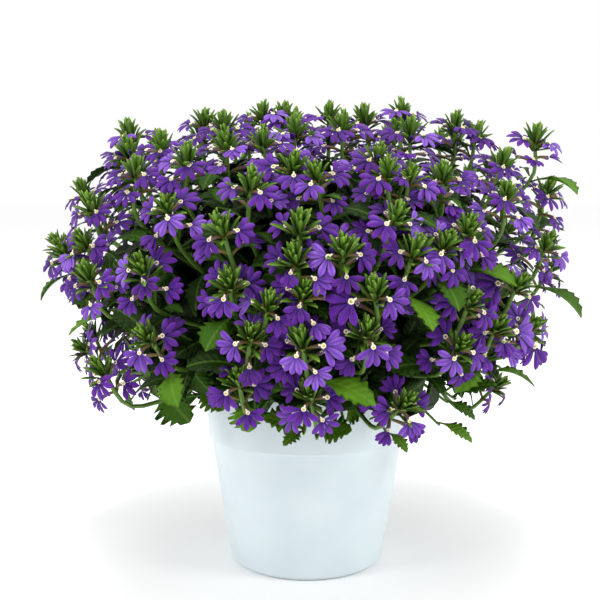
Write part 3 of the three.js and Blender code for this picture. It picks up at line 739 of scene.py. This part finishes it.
def clear_of_tufts(head, throat, along):
    """Whether a fan keeps its distance from the tufts of the heads beside its own."""
    for other in heads:
        if other is head or (other.seat - throat).length > FAR_HEAD:
            continue
        for place in (throat + along * FAN_HALF, throat + along * FAN_MOST):
            up = min(max((place - other.seat).dot(other.axis), TUFT_LOW), TUFT_HIGH)
            if (place - other.seat - other.axis * up).length < TUFT_ROOM:
                return False
    return True


for head in heads:
    kept = []
    for bloom in head.blooms:
        for turn in SUN_TURNS:
            face = (bloom.face + head.sunward * turn).normalized()
            along = face.cross(bloom.along).cross(face).normalized()
            if clear_of_tufts(head, bloom.throat, along):
                bloom.face, bloom.along = face, along
                kept.append(bloom)
                break
        else:
            if not bloom.added:
                kept.append(bloom)
    head.blooms = kept


# The blooms
# Each is one fan of five petals, open on its upper side, as if half the flower were missing: velvety violet
# blades with a keel down the middle, round a cream throat with a hooked style. They grow from the stem.

PETAL = [(1.0, 0.6), (3.0, 0.95), (5.4, 1.6), (7.6, 2.1), (9.6, 1.95), (11.2, 1.15), (12.0, 0.2)]
PETALS = 5
FAN_SPREADS = [OPEN_SPREAD, 54, 40, 24]
FAN_VARIANTS = 3
FAN_SIZE = 0.84


def smooth_and_map(shape, faces, mapped):
    """Shades faces smooth and gives their corners their UV."""
    uv = shape.loops.layers.uv.get("UVMap") or shape.loops.layers.uv.new("UVMap")
    for face in faces:
        face.smooth = True
        for loop in face.loops:
            loop[uv].uv = mapped[loop.vert]


def blade(shape, outline, place, fold=0.0, thick=0.4, arch=0.0, curl=0.0, wave=0.0, columns=1, shades=(0, 1)):
    """Adds a thin closed blade, in millimetres, that grows along +Y and faces +Z, at a place.

    The outline holds how far along and how wide to each side, from root to tip. The fold lifts the edges,
    the arch and the curl bend the blade down its length, and the shades are the v of its root and its tip.
    """
    root, tip = outline[0][0], outline[-1][0]
    widest = max(half for _, half in outline)
    across = [i / columns for i in range(-columns, columns + 1)]
    rows = []
    mapped = {}
    for number, (along, half) in enumerate(outline):
        share = (along - root) / (tip - root)
        lift = (tip - root) * (4 * arch * share * (1 - share) - curl * share * share)
        ripple = wave * half * math.sin(2.3 * number)
        row = []
        for step in across:
            row.append((step * half, lift + fold * half * abs(step) + ripple * step))
        row.append((0, lift - thick))
        corners = [shape.verts.new(place @ Vector((x * MM, along * MM, z * MM))) for x, z in row]
        for corner, (x, z) in zip(corners, row):
            mapped[corner] = (0.5 + 0.5 * x / widest, shades[0] + share * (shades[1] - shades[0]))
        rows.append(corners)
    faces = [shape.faces.new(rows[0][::-1]), shape.faces.new(rows[-1])]
    count = len(rows[0])
    for a, b in zip(rows, rows[1:]):
        for i in range(count):
            j = (i + 1) % count
            faces.append(shape.faces.new((a[i], a[j], b[j], b[i])))
    smooth_and_map(shape, faces, mapped)


def on_blade(tree):
    """A blade's UV, its v from root to tip, how far off its midrib up to 0.5, and the tone of its site."""
    uv = add(tree, "ShaderNodeUVMap", uv_map="UVMap").outputs[0]
    u, v, _ = add(tree, "ShaderNodeSeparateXYZ", {0: uv}).outputs
    off = calc(tree, "ABSOLUTE", calc(tree, "SUBTRACT", u, 0.5))
    return uv, v, off, tone_of(tree)


def tone_of(tree):
    """The tone that a shape's site or a path's corner carries."""
    return add(tree, "ShaderNodeAttribute", attribute_name="tone", attribute_type="GEOMETRY").outputs["Fac"]


def cup(shape, rings, sides=9):
    """Adds a closed cup round the Z axis, of rings of radius, height and v, in millimetres."""
    mapped = {}
    loops = []
    for radius, z, v in rings:
        count = sides if radius else 1
        ring = []
        for i in range(count):
            angle = TURN * i / sides
            at = Vector((radius * math.cos(angle), radius * math.sin(angle), z)) * MM
            ring.append(shape.verts.new(at))
            mapped[ring[-1]] = (0.5, v)
        loops.append(ring)
    faces = []
    for a, b in zip(loops, loops[1:]):
        for i in range(sides):
            j = (i + 1) % sides
            corners = [a[i % len(a)], b[i % len(b)], b[j % len(b)], a[j % len(a)]]
            faces.append(shape.faces.new(list(dict.fromkeys(corners))))
    smooth_and_map(shape, faces, mapped)


THROAT = [
    (0, -0.6, 0.01), (0.45, -0.4, 0.03), (0.8, 0.35, 0.06), (1.15, 0.6, 0.1), (1.6, 0.1, 0.13),
    (1.2, -1.2, 0.14), (0, -1.6, 0.14),
]
STYLE = [(-0.4, 0.3), (0.6, 0.35), (1.4, 0.4), (2.0, 0.6), (2.4, 0.4)]


def fan_shape(spread, seed):
    """Five petals round a throat, fanned to a spread in degrees on each side, each a little different."""
    draws = random.Random(seed)
    shape = bmesh.new()
    shut = 1 - spread / OPEN_SPREAD
    for i in range(PETALS):
        angle = spread * (2 * i / (PETALS - 1) - 1) + draws.uniform(-3, 3)
        turn = Matrix.Rotation(-math.radians(angle), 4, "Z")
        lean = Matrix.Rotation(math.radians(draws.uniform(-5, 4) + 45 * shut), 4, "X")
        height = Matrix.Translation((0, 0, 0.22 * MM * (i % 2)))
        long = draws.uniform(0.93, 1.02) - 0.04 * (i in (0, PETALS - 1))
        wide = draws.uniform(0.92, 1.06)
        outline = [(along * long, half * wide) for along, half in PETAL]
        bend = {"fold": 0.24, "arch": 0.06, "curl": draws.uniform(0.0, 0.1) - 0.2 * shut, "wave": 0.06}
        blade(shape, outline, turn @ height @ lean, thick=0.35, shades=(0.15, 1), **bend)
    cup(shape, THROAT)
    hook = Matrix.Rotation(math.pi, 4, "Z") @ Matrix.Rotation(math.radians(35), 4, "X")
    blade(shape, STYLE, hook, thick=0.5, curl=0.5, shades=(0.08, 0.1))
    return mesh_of(shape, "fan")


CLUB = [
    (0, 0, 0.2), (0.6, 0.3, 0.2), (0.8, 2.5, 0.3), (1.35, 4.6, 0.5), (1.5, 6, 0.7), (0.9, 7.4, 0.9),
    (0, 7.8, 1),
]


def bud_shape():
    """A bud before it opens: five petals folded into a club."""
    shape = bmesh.new()
    cup(shape, CLUB, 7)
    bmesh.ops.reverse_faces(shape, faces=shape.faces)
    shape.transform(Matrix.Rotation(-math.pi / 2, 4, "X"))
    return mesh_of(shape, "bud")


fan_meshes = []
for n, spread in enumerate(FAN_SPREADS):
    fan_meshes += [fan_shape(spread, 7 * n + variant) for variant in range(FAN_VARIANTS)]
BUD = len(fan_meshes)
fans = collection_of("fan", [*fan_meshes, bud_shape()])

# Velvety petal tissue: saturated violet, deeper down the keel and at the base, paler on the wings, with a
# soft sheen and no gloss. The throat is cream with a yellow brown pit.
petal, tree = new_finish("violet petal")
uv, v, off, tone = on_blade(tree)
length_ramp = [
    (0.0, "#6b4a16"),
    (0.03, "#a98a3a"),
    (0.06, "#e9dca6"),
    (0.11, "#efe6c6"),
    (0.15, "#b79fd6"),
    (0.19, "#3a1472"),
    (0.5, "#4f1484"),
    (1.0, "#65209c"),
]
on_petal = ranged(tree, v, 0.16, 0.3)
keel = calc(tree, "MULTIPLY", ranged(tree, off, 0, 0.09, 0.75, 0), on_petal)
colour = blend(tree, keel, ramp(tree, v, length_ramp), linear("#2c0d5e"))
wing = calc(tree, "MULTIPLY", ranged(tree, off, 0.28, 0.5, 0, 0.35), on_petal)
colour = blend(tree, wing, colour, linear("#8f55c6"))
pale = calc(tree, "MULTIPLY", ranged(tree, tone, 0.6, 1, 0, 0.7), on_petal)
pale = calc(tree, "MULTIPLY", pale, ranged(tree, off, 0.04, 0.3, 0.3, 1))
colour = blend(tree, pale, colour, linear("#936cd0"))
light = ranged(tree, calc(tree, "ADD", speckle(tree, 9, 2), tone), 0.4, 1.6, 0.72, 1.3)
waves = {"Vector": uv, "Scale": 5.0, "Distortion": 0.6}
veins = add(tree, "ShaderNodeTexWave", waves, bands_direction="X").outputs[1]
gloss = {"Specular_IOR_Level": 0.2, "Sheen_Weight": 0.08, "Sheen_Roughness": 0.4}
coat(tree, brightened(tree, colour, light), 0.55, bumped(tree, veins, 0.25, 0.15), **gloss)


def fan_sites(head):
    """The sites of a head's blooms and of a bud or two beside them."""
    sites = []
    for bloom in head.blooms:
        nearest = min(range(len(FAN_SPREADS)), key=lambda n: abs(FAN_SPREADS[n] - bloom.spread))
        size = FAN_SIZE * bloom.length / FAN_LENGTH * head.draws.uniform(0.92, 1.06)
        kind = FAN_VARIANTS * nearest + head.draws.randrange(FAN_VARIANTS)
        tone = head.draws.random()
        sites.append(Site(bloom.throat, bloom.along, bloom.face, (size, size, size), kind, tone))
    for _ in range(head.draws.choice((0, 1, 2))):
        out = head.at(TURN * head.draws.random())
        way = (out + head.axis * head.draws.uniform(0.5, 1.2)).normalized()
        root = head.seat + out * 2 * MM + head.axis * head.draws.uniform(-4, 2) * MM
        size = head.draws.uniform(0.7, 1.1)
        sites.append(Site(root, way, head.axis, (size, size, size), BUD, 0.2))
    return sites


for bunch in bunches:
    sites = [site for head in heads if head.bunch == bunch for site in fan_sites(head)]
    mesh = on_sites(sites, fans, petal, sway=0.06, size_spread=0.03, seed=3)
    show(bunch + "_fans", mesh, "violet_petal", bunch)
for cutting in cuttings:
    sites = [s for head in heads if head.cutting == cutting and not head.bunch for s in fan_sites(head)]
    show(cutting + "_more_fans", on_sites(sites, fans, petal, sway=0.06, seed=4), "violet_petal")


# The shoots
# Soft green stems, each out of its cutting's woody foot through the bush and up to its tuft, and the short
# olive brown tubes by which the blooms grow from them.

STEM_RADIUS = 1.25 * MM
BUSH_MIDDLE = Vector((0, 0, 132 * MM))
SHOOT_ROOT = 0.33
LOW_KNEE = POT_HEIGHT - 10 * MM
LOW_SHOOT_ROOT = 0.6
OVER_RIM = 5 * MM
STRAIGHT = 24 * MM
STALK_ROOT = 0.3
STALK_RISE = 14 * MM
STALK_BOW = 5 * MM
STALK_END = 0.06
SHOOT_SAG = 3 * MM
SHOOT_IN_TUFT = 6 * MM
CUTTING_RING = 14 * MM
WOODY_RADIUS = 3.4 * MM
# A woody foot's height, thickness and distance from the pot's axis as shares, and tone.
WOODY_FOOT = [
    (83 * MM, 1, 1, 0.0),
    (105 * MM, 1, 1, 0.0),
    (117 * MM, 0.95, 1, 0.0),
    (127 * MM, 0.8, 1, 0.1),
    (146 * MM, 0.5, 1.3, 0.2),
]
SHOOTS_FROM = 119 * MM


def tubes_tree():
    """Smooth round tubes along the paths that a mesh's edges make, as thick as each corner says."""
    inputs = {"Paths": "Geometry", "Sides": "Int", "Steps": "Int", "Finish": "Material"}
    tree, given = new_growth("tubes on paths", inputs, "Tubes")
    line = add(tree, "GeometryNodeMeshToCurve", {"Mesh": given["Paths"]}).outputs[0]
    line = add(tree, "GeometryNodeCurveSplineType", {"Curve": line}, spline_type="CATMULL_ROM").outputs[0]
    line = {"Geometry": line, "Resolution": given["Steps"]}
    line = add(tree, "GeometryNodeSetSplineResolution", line).outputs[0]
    ring = {"Resolution": given["Sides"], "Radius": 1.0}
    ring = add(tree, "GeometryNodeCurvePrimitiveCircle", ring).outputs[0]
    thick = carried(tree, "thick", "FLOAT")
    tube = {"Curve": line, "Profile Curve": ring, "Scale": thick, "Fill Caps": True}
    tube = add(tree, "GeometryNodeCurveToMesh", tube).outputs[0]
    tube = add(tree, "GeometryNodeSetShadeSmooth", {"Geometry": tube}).outputs[0]
    tube = add(tree, "GeometryNodeSetMaterial", {"Geometry": tube, "Material": given["Finish"]}).outputs[0]
    add(tree, "NodeGroupOutput", {"Tubes": tube})
    return tree


tubes_on_paths = tubes_tree()


def along_paths(paths, finish, sides=6, steps=4):
    """One mesh of tubes, along paths of (place, thickness, tone) corners."""
    corners = [corner for path in paths for corner in path]
    edges = []
    count = 0
    for path in paths:
        edges += [(count + i, count + i + 1) for i in range(len(path) - 1)]
        count += len(path)
    mesh = bpy.data.meshes.new("paths")
    mesh.from_pydata([place for place, _, _ in corners], edges, [])
    for i, name in ((1, "thick"), (2, "tone")):
        values = [corner[i] for corner in corners]
        mesh.attributes.new(name, "FLOAT", "POINT").data.foreach_set("value", values)
    return grown(tubes_on_paths, mesh, sides=sides, steps=steps, finish=finish)


def shoot_root(head):
    """Where a shoot starts in the bush; one that hangs lower than the rim starts outside and above it."""
    knee = head.seat - head.axis * STRAIGHT
    if knee.z > LOW_KNEE:
        return BUSH_MIDDLE.lerp(head.seat, SHOOT_ROOT)
    root = BUSH_MIDDLE.lerp(head.seat, LOW_SHOOT_ROOT)
    root.z = max(root.z, POT_HEIGHT + OVER_RIM)
    return root


def foot_of(cutting):
    """Where a cutting is rooted, in the middle of its third, at the height of the pot's foot."""
    angle = FIRST_THIRD + TURN * (cuttings.index(cutting) + 0.5) / len(cuttings)
    return Vector((CUTTING_RING * math.cos(angle), CUTTING_RING * math.sin(angle), 0))


def shoot_path(head):
    """A shoot's line from the woody foot to inside its tuft."""
    foot = foot_of(head.cutting) + UP * SHOOTS_FROM
    root = shoot_root(head)
    knee = head.seat - head.axis * STRAIGHT
    bow = root.lerp(knee, 0.55) - UP * SHOOT_SAG
    return [
        (foot, 1.5 * STEM_RADIUS, 0.0),
        (root, 1.3 * STEM_RADIUS, 0.2),
        (bow, 1.15 * STEM_RADIUS, 0.4),
        (knee, STEM_RADIUS, 0.7),
        (head.seat, STEM_RADIUS, 0.9),
        (head.seat + head.axis * SHOOT_IN_TUFT, 0.8 * STEM_RADIUS, 1.0),
    ]


# Young stems are fresh green with pale ribs, older ones grey green to light brown at the foot.
stem, tree = new_finish("green stem")
stops = [(0.0, "#3c3113"), (0.15, "#34420c"), (0.6, "#456a14"), (1.0, "#567f1e")]
mottle = speckle(tree, 3, 3)
mottled = ramp(tree, mottle, [(0.3, "#2f480e"), (0.7, "#6c8c2c")])
coat(tree, blend(tree, 0.35, ramp(tree, tone_of(tree), stops), mottled), 0.5, bumped(tree, mottle, 0.4, 0.3))

# The tubes turn from olive brown at the stem to dull violet behind the throat.
tube, tree = new_finish("flower tube")
colour = ramp(tree, tone_of(tree), [(0.0, "#55591a"), (0.55, "#6a5320"), (1.0, "#5c3f78")])
coat(tree, colour, 0.6, bumped(tree, speckle(tree, 0.8, 1), 0.3, 0.2))


def stalk_path(root, tip):
    """A low leaf's stalk, out of the bush over the rim to the leaf."""
    start = BUSH_MIDDLE.lerp(root, STALK_ROOT) + UP * STALK_RISE
    bow = start.lerp(root, 0.6) + UP * STALK_BOW
    end = root.lerp(tip, STALK_END)
    return [(start, 1.2 * MM, 0.3), (bow, 1.0 * MM, 0.5), (root, 0.8 * MM, 0.8), (end, 0.6 * MM, 0.9)]


for cutting in cuttings:
    foot = foot_of(cutting)
    woody = [(foot * out + UP * z, thick * WOODY_RADIUS, tone) for z, thick, out, tone in WOODY_FOOT]
    paths = [woody] + [shoot_path(head) for head in heads if head.cutting == cutting]
    for bearer, root, tip, _, _, low in leaf_places:
        if low and bearer == cutting:
            paths.append(stalk_path(root, tip))
    show(cutting + "_shoots", along_paths(paths, stem), "green_leaf", cutting)

tube_paths = []
for head in heads:
    for bloom in head.blooms:
        down = (bloom.throat - head.seat).dot(head.axis) - THROAT_RISE
        start = head.seat + head.axis * (down - 1 * MM)
        middle = start.lerp(bloom.throat, 0.5) + head.axis * 0.6 * MM
        end = bloom.throat - bloom.face * 0.9 * MM
        tube_paths.append([(start, 0.75 * MM, 0.0), (middle, 0.95 * MM, 0.5), (end, 1.35 * MM, 1.0)])
show("flower_tubes", along_paths(tube_paths, tube, sides=6, steps=3), "green_leaf", *bunches)


# The tufts
# A shoot's growing tip: nineteen narrow bracts in a spiral, the outer ones spread and the inner ones
# upright, tipped yellow green, with a few broader leaf-like ones under them.

BRACT = [(0, 0.8), (2.5, 1.3), (5.4, 1.9), (8.2, 1.55), (10.2, 0.75), (11.2, 0.15)]
BROAD_BRACT = [(0, 0.6), (4, 1.2), (6.5, 1.8), (8.5, 2.2), (9.2, 1.6), (11, 1.1), (12.5, 0.25)]
TUFT_BRACTS = 19
BROAD_BRACTS = 5
TUFT_KINDS = 5
OUTER_TILT = 42
INNER_TILT = 4
OUTER_REACH = 1.9
INNER_REACH = 0.5
BROAD_REACH = 1.2
TUFT_RISE = 4.5


def bract_shape(outline, seed):
    """A narrow keeled bract that curves in at its tip."""
    shape = bmesh.new()
    draws = random.Random(seed)
    blade(shape, outline, Matrix(), fold=0.35, thick=0.5, arch=0.04, curl=draws.uniform(-0.16, 0.02))
    return mesh_of(shape, "bract")


bract_meshes = [bract_shape(BRACT, seed) for seed in (1, 2, 3)]
BROAD = len(bract_meshes)
bracts = collection_of("bract", [*bract_meshes, bract_shape(BROAD_BRACT, 4)])

# Young bract tissue: bright yellow green at the tips, deeper at the foot, with a slight gloss.
bract, tree = new_finish("young green bract")
_, v, off, tone = on_blade(tree)
colour = ramp(tree, v, [(0.0, "#22380a"), (0.45, "#33560c"), (0.85, "#4a7316"), (1.0, "#6f9030")])
colour = blend(tree, ranged(tree, off, 0, 0.2, 0.5, 0), colour, linear("#87a243"))
patches = speckle(tree, 4, 2)
light = ranged(tree, calc(tree, "ADD", patches, tone), 0.3, 1.6, 0.6, 1.35)
relief = bumped(tree, patches, 0.3, 0.2)
coat(tree, brightened(tree, colour, light), 0.5, relief, Specular_IOR_Level=0.25)


def bract_site(angle, tilt, reach, rise, size, kind, tone):
    """A bract that tilts out at an angle round the shoot, from a foot out and up in millimetres."""
    out = Vector((math.cos(angle), math.sin(angle), 0))
    way = out * math.sin(tilt) + UP * math.cos(tilt)
    face = UP * math.sin(tilt) - out * math.cos(tilt)
    return Site((out * reach + UP * rise) * MM, way, face, (1, size, 1), kind, tone)


def tuft_shape(seed):
    """One tuft, upright on its foot, with its bracts in a spiral."""
    draws = random.Random(seed)
    sites = []
    for i in range(TUFT_BRACTS):
        share = i / (TUFT_BRACTS - 1)
        angle = i * GOLDEN_ANGLE + draws.uniform(-0.2, 0.2)
        tilt = math.radians(OUTER_TILT * (1 - share) + INNER_TILT + draws.uniform(-6, 6))
        size = draws.uniform(0.8, 1.12) * (1 - 0.12 * share)
        tone = 0.25 + 0.75 * share * draws.random()
        reach = OUTER_REACH + (INNER_REACH - OUTER_REACH) * share
        sites.append(bract_site(angle, tilt, reach, TUFT_RISE * share - 0.5, size, i % BROAD, tone))
    for i in range(BROAD_BRACTS):
        angle = TURN * i / BROAD_BRACTS + draws.uniform(-0.4, 0.4)
        tilt = math.radians(draws.uniform(58, 84))
        rise = -draws.uniform(0.5, 4)
        size = draws.uniform(0.75, 1.05)
        sites.append(bract_site(angle, tilt, BROAD_REACH, rise, size, BROAD, draws.random() * 0.6))
    return on_sites(sites, bracts, bract, size_spread=0.05, sway=0.05, seed=seed)


tufts = collection_of("tuft", [tuft_shape(21 + kind) for kind in range(TUFT_KINDS)])
for cutting in cuttings:
    sites = []
    for head in heads:
        if head.cutting == cutting:
            size = head.draws.uniform(0.9, 1.08)
            kind = head.draws.randrange(TUFT_KINDS)
            way = head.at(TURN * head.draws.random())
            sites.append(Site(head.seat, way, head.axis, (size, size, size), kind, head.draws.random()))
    show(cutting + "_tufts", on_sites(sites, tufts, bract, seed=6), "green_leaf", cutting)


# The leaves
# Fleshy, spoon-shaped and coarsely toothed towards the tip, folded a little along the midrib. They stand in
# a spiral down each shoot, small and narrow under the blooms, larger and painted darker as shade further
# down.

LEAF_LENGTH = 34
LEAF_HALF_WIDTH = 9.5
LEAF = [
    (0, 0.9), (6, 1.1), (12, 2.6), (16, 5.4), (19, 8.4), (20.2, 6.6), (23, 9.5), (24.4, 7.0),
    (27, 8.6), (28.3, 5.8), (31, 5.6), (32, 3.2), (34, 0.4),
]
DEEP_LEAF = [
    (0, 1.0), (6, 1.3), (10, 2.6), (13, 5.6), (15.2, 8.8), (15.9, 5.6), (18, 9.5), (20, 9.4),
    (20.8, 5.8), (23.4, 9.3), (25, 8.4), (25.6, 4.9), (28.4, 7.0), (29.2, 3.8), (31.8, 3.6),
    (34, 0.4),
]
SMALL_LEAF = [(0, 1.0), (12, 2.2), (20, 5.6), (22, 4.2), (26, 5.0), (28, 3.4), (34, 0.4)]
PLAIN_LEAF = [(0, 1.0), (10, 2.6), (17, 7.6), (22, 9.5), (28, 7.2), (34, 0.4)]
LEAF_BENDS = {"fold": (0.12, 0.3), "arch": (0.08, 0.16), "curl": (-0.02, 0.12), "wave": (0.03, 0.1)}


def leaf_shape(outline, columns, seed):
    """A leaf with its own arch, fold and waves."""
    draws = random.Random(seed)
    shape = bmesh.new()
    bend = {name: draws.uniform(*ends) for name, ends in LEAF_BENDS.items()}
    blade(shape, outline, Matrix(), thick=0.7, columns=columns, **bend)
    return mesh_of(shape, "leaf")


leaf_meshes = [leaf_shape(LEAF, 2, seed) for seed in (1, 2, 3)]
leaf_meshes += [leaf_shape(DEEP_LEAF, 2, seed) for seed in (4, 5)]
leaf_meshes += [leaf_shape(SMALL_LEAF, 1, seed) for seed in (6, 7)]
leaf_meshes += [leaf_shape(PLAIN_LEAF, 1, seed) for seed in (8, 9)]
leaves = collection_of("leaf", leaf_meshes)
TOOTHED, DEEP, SMALL, PLAIN = (0, 1, 2), (3, 4), (5, 6), (7, 8)

# Thick leaf tissue: satin green with a pale midrib and sunken side veins; its tone, mid green out in the
# light to nearly black deep in the bush, is painted shade.
leaf, tree = new_finish("toothed green leaf")
_, v, off, tone = on_blade(tree)
# Painted shade: the site's tone sets how dark the leaf is, nearly black deep in the bush.
colour = ramp(tree, tone, [(0.0, "#0a1502"), (0.35, "#1b3404"), (0.7, "#315509"), (1.0, "#568116")])
patches = speckle(tree, 12, 4)
colour = brightened(tree, colour, ranged(tree, patches, 0, 1, 0.7, 1.3))
colour = blend(tree, ranged(tree, off, 0, 0.05, 0.35, 0), colour, linear("#6d9234"))
slant = calc(tree, "MULTIPLY_ADD", off, -0.55, v)
slanted = add(tree, "ShaderNodeCombineXYZ", {0: slant}).outputs[0]
waves = {"Vector": slanted, "Scale": 2.6, "Distortion": 0.0}
veins = add(tree, "ShaderNodeTexWave", waves, bands_direction="X", wave_profile="SIN").outputs[1]
relief = bumped(tree, patches, 0.3, 0.4, over=bumped(tree, veins, 0.5, 0.5))
coat(tree, colour, 0.5, relief, Specular_IOR_Level=0.12)


def leaf_site(root, tip, face, half_width, kind, tone):
    """A leaf from root to tip."""
    size = (tip - root).length / (LEAF_LENGTH * MM)
    wide = half_width / (LEAF_HALF_WIDTH * MM)
    return Site(root, tip - root, face, (wide, size, size), kind, tone)


LEAF_LOWEST = 107 * MM
RIM_REACH = RIM_RADIUS + 7 * MM
RIM_LEAF_LOWEST = POT_HEIGHT + 3 * MM


def hangs(tip):
    """Whether a leaf's tip is lower or further out than the bush, where only the large leaves reach."""
    lowest = RIM_LEAF_LOWEST if math.hypot(tip.x, tip.y) < RIM_REACH else LEAF_LOWEST
    return tip.z < lowest or mound_level(tip) > (0.96 if tip.z < MOUND_MIDDLE.z else 1.0)


leaf_sites = {cutting: [] for cutting in cuttings}
draws = random.Random(41)
for cutting, root, tip, face, half_width, low in leaf_places:
    kind = draws.choice(DEEP if low else TOOTHED)
    # Painted shade: leaves over the rim or poking out of the mound get light tones, those inside it darker
    # ones.
    bright = low or mound_level(tip) > 1
    tone = draws.uniform(0.6, 1.0) if bright else draws.uniform(0.25, 0.6)
    leaf_sites[cutting].append(leaf_site(root, tip, face, half_width, kind, tone))

STEM_LEAVES = 7
FIRST_LEAF_DOWN = 10 * MM
LEAF_STEP = 8.5 * MM
TOP_LEAF_LENGTH = 16
for head in heads:
    knee = head.seat - head.axis * STRAIGHT
    below = (shoot_root(head) - knee).normalized()
    first = TURN * head.draws.random()
    for i in range(STEM_LEAVES):
        share = i / (STEM_LEAVES - 1)
        down = FIRST_LEAF_DOWN + LEAF_STEP * i
        foot = head.seat - head.axis * down if down < STRAIGHT else knee + below * (down - STRAIGHT)
        out = head.at(first + i * GOLDEN_ANGLE)
        length = TOP_LEAF_LENGTH + (LEAF_LENGTH - TOP_LEAF_LENGTH) * share
        length *= head.draws.uniform(0.85, 1.15)
        way = (out + head.axis * head.draws.uniform(0.1, 0.7) - UP * 0.25 * share).normalized()
        face = head.axis + out * -0.2
        wide = length * (0.17 + 0.1 * share)
        kind = head.draws.choice(SMALL if i < 2 else TOOTHED)
        # Painted shade: the tone falls further down the shoot, so the lower leaves are painted darker.
        tone = 0.75 - 0.6 * share + head.draws.uniform(-0.12, 0.12)
        if kind in SMALL:
            wide *= 1.5
        tip = foot + way * length * MM
        if hangs(tip):
            continue
        leaf_sites[head.cutting].append(leaf_site(foot, tip, face, wide * MM, kind, max(tone, 0)))

for cutting in cuttings:
    mesh = on_sites(leaf_sites[cutting], leaves, leaf, sway=0.08, seed=8)
    show(cutting + "_leaves", mesh, "green_leaf", cutting)


# The inside of the bush
# Crowded older leaves painted dark as shade, round a closed heart painted nearly black as deep shade, where
# the twigs are so dense that nothing shows through.

INNER_LEAVES = 900
INNER_SHARES = (0.5, 0.7)
INNER_ROOM = 10 * MM
UNDERSIDE = 150 * MM
HEART_SHARE = 0.56
HEART_LUMPS = 0.22
HEART_LOWEST = POT_HEIGHT + 5 * MM

sites = {cutting: [] for cutting in cuttings}
draws = random.Random(57)
for i in range(INNER_LEAVES):
    way = spread_way(i, INNER_LEAVES)
    share = draws.uniform(*INNER_SHARES)
    surface_place = on_mound(way)
    foot = BUSH_MIDDLE.lerp(surface_place, share)
    outward = mound_facing(surface_place)
    sideways = Matrix.Rotation(TURN * draws.random(), 3, outward) @ outward.orthogonal().normalized()
    grow = (outward * draws.uniform(0.1, 0.9) + sideways + UP * 0.2).normalized()
    length = draws.uniform(24, 36) * MM
    # Painted shade: inner leaves get the darkest tones, a little less dark where their foot is lower than
    # UNDERSIDE.
    tone = draws.uniform(0.0, 0.22) + (0.3 if foot.z < UNDERSIDE else 0)
    kind = draws.choice(PLAIN)
    tip = foot + grow * length
    if not hangs(tip - UP * INNER_ROOM) and not hangs(foot.lerp(tip, LEAF_MIDDLE)):
        site = leaf_site(foot, tip, outward + UP * 0.4, length * 0.27, kind, tone)
        sites[cutting_at(foot)].append(site)
for cutting in cuttings:
    mesh = on_sites(sites[cutting], leaves, leaf, sway=0.15, seed=9)
    show(cutting + "_inner_leaves", mesh, "green_leaf", cutting)

# The heart's finish: painted deep shade, a nearly black green, with the lumpy relief of a tangle of twigs and
# old leaves.
shade_green, tree = new_finish("shaded twigs")
tangle = speckle(tree, 6, 5)
colour = ramp(tree, tangle, [(0.35, "#060d04"), (0.7, "#14290d")])
coat(tree, colour, 0.9, bumped(tree, tangle, 1.0, 3), Specular_IOR_Level=0.1)

heart = bmesh.new()
bmesh.ops.create_icosphere(heart, subdivisions=5, radius=1)
for corner in heart.verts:
    way = corner.co.normalized()
    lumps = noise.fractal(way * 9, 0.8, 2.0, 4)
    place = BUSH_MIDDLE.lerp(on_mound(way), HEART_SHARE * (1 + HEART_LUMPS * lumps))
    place.z = max(place.z, HEART_LOWEST + 3 * MM * lumps)
    corner.co = place
heart_mesh = mesh_of(heart, "heart")
heart_mesh.materials.append(shade_green)
show("bush_heart", heart_mesh, "green_leaf", *cuttings)


# The floor, the light and the camera
# A pale seamless floor under soft light from both sides and above, seen from above the rim.

white, tree = new_finish("matte white paper")
coat(tree, linear("#fcfcfc"), 0.9, bumped(tree, speckle(tree, 2, 2), 0.05, 0.05))
FLOOR_REACH = 6
corners = [(x * FLOOR_REACH, y * FLOOR_REACH, 0) for x, y in ((-1, -1), (1, -1), (1, 1), (-1, 1))]
floor_mesh = bpy.data.meshes.new("floor")
floor_mesh.from_pydata(corners, [], [(0, 1, 2, 3)])
floor_mesh.materials.append(white)
floor = in_scene("floor", floor_mesh)

world = bpy.data.worlds.new("soft studio")
world.use_nodes = True
sky = world.node_tree.nodes["Background"].inputs
sky["Color"].default_value = (1, 1, 1, 1)
sky["Strength"].default_value = 1.0
scene.world = world
LAMPS_AIM = Vector((0, 0, 180 * MM))


def soft_box(name, place, size, power):
    """A square area light that points at the middle of the plant."""
    lamp = bpy.data.lights.new(name, "AREA")
    lamp.size = size
    lamp.energy = power
    light = in_scene(name, lamp)
    light.location = place
    light.rotation_euler = (LAMPS_AIM - Vector(place)).to_track_quat("-Z", "Y").to_euler()


soft_box("soft box left", (-1.2, -0.7, 1.0), 0.5, 8)
soft_box("soft box right", (1.2, -0.5, 0.8), 0.5, 7)
soft_box("soft box above", (0, -0.3, 1.5), 0.6, 9)

EYE = Vector((-4.5, -700, 259)) * MM
DIP = math.radians(7.2)
FOCAL_PIXELS = 1090
FRAME_PIXELS = 600
SENSOR_WIDTH = 36
camera = bpy.data.cameras.new("camera")
camera.sensor_width = SENSOR_WIDTH
camera.lens = SENSOR_WIDTH * FOCAL_PIXELS / FRAME_PIXELS
camera.clip_start = 0.01
viewer = in_scene("camera", camera)
viewer.location = EYE
viewer.rotation_euler = (math.pi / 2 - DIP, 0, 0)
scene.camera = viewer
scene.view_settings.view_transform = "Standard"
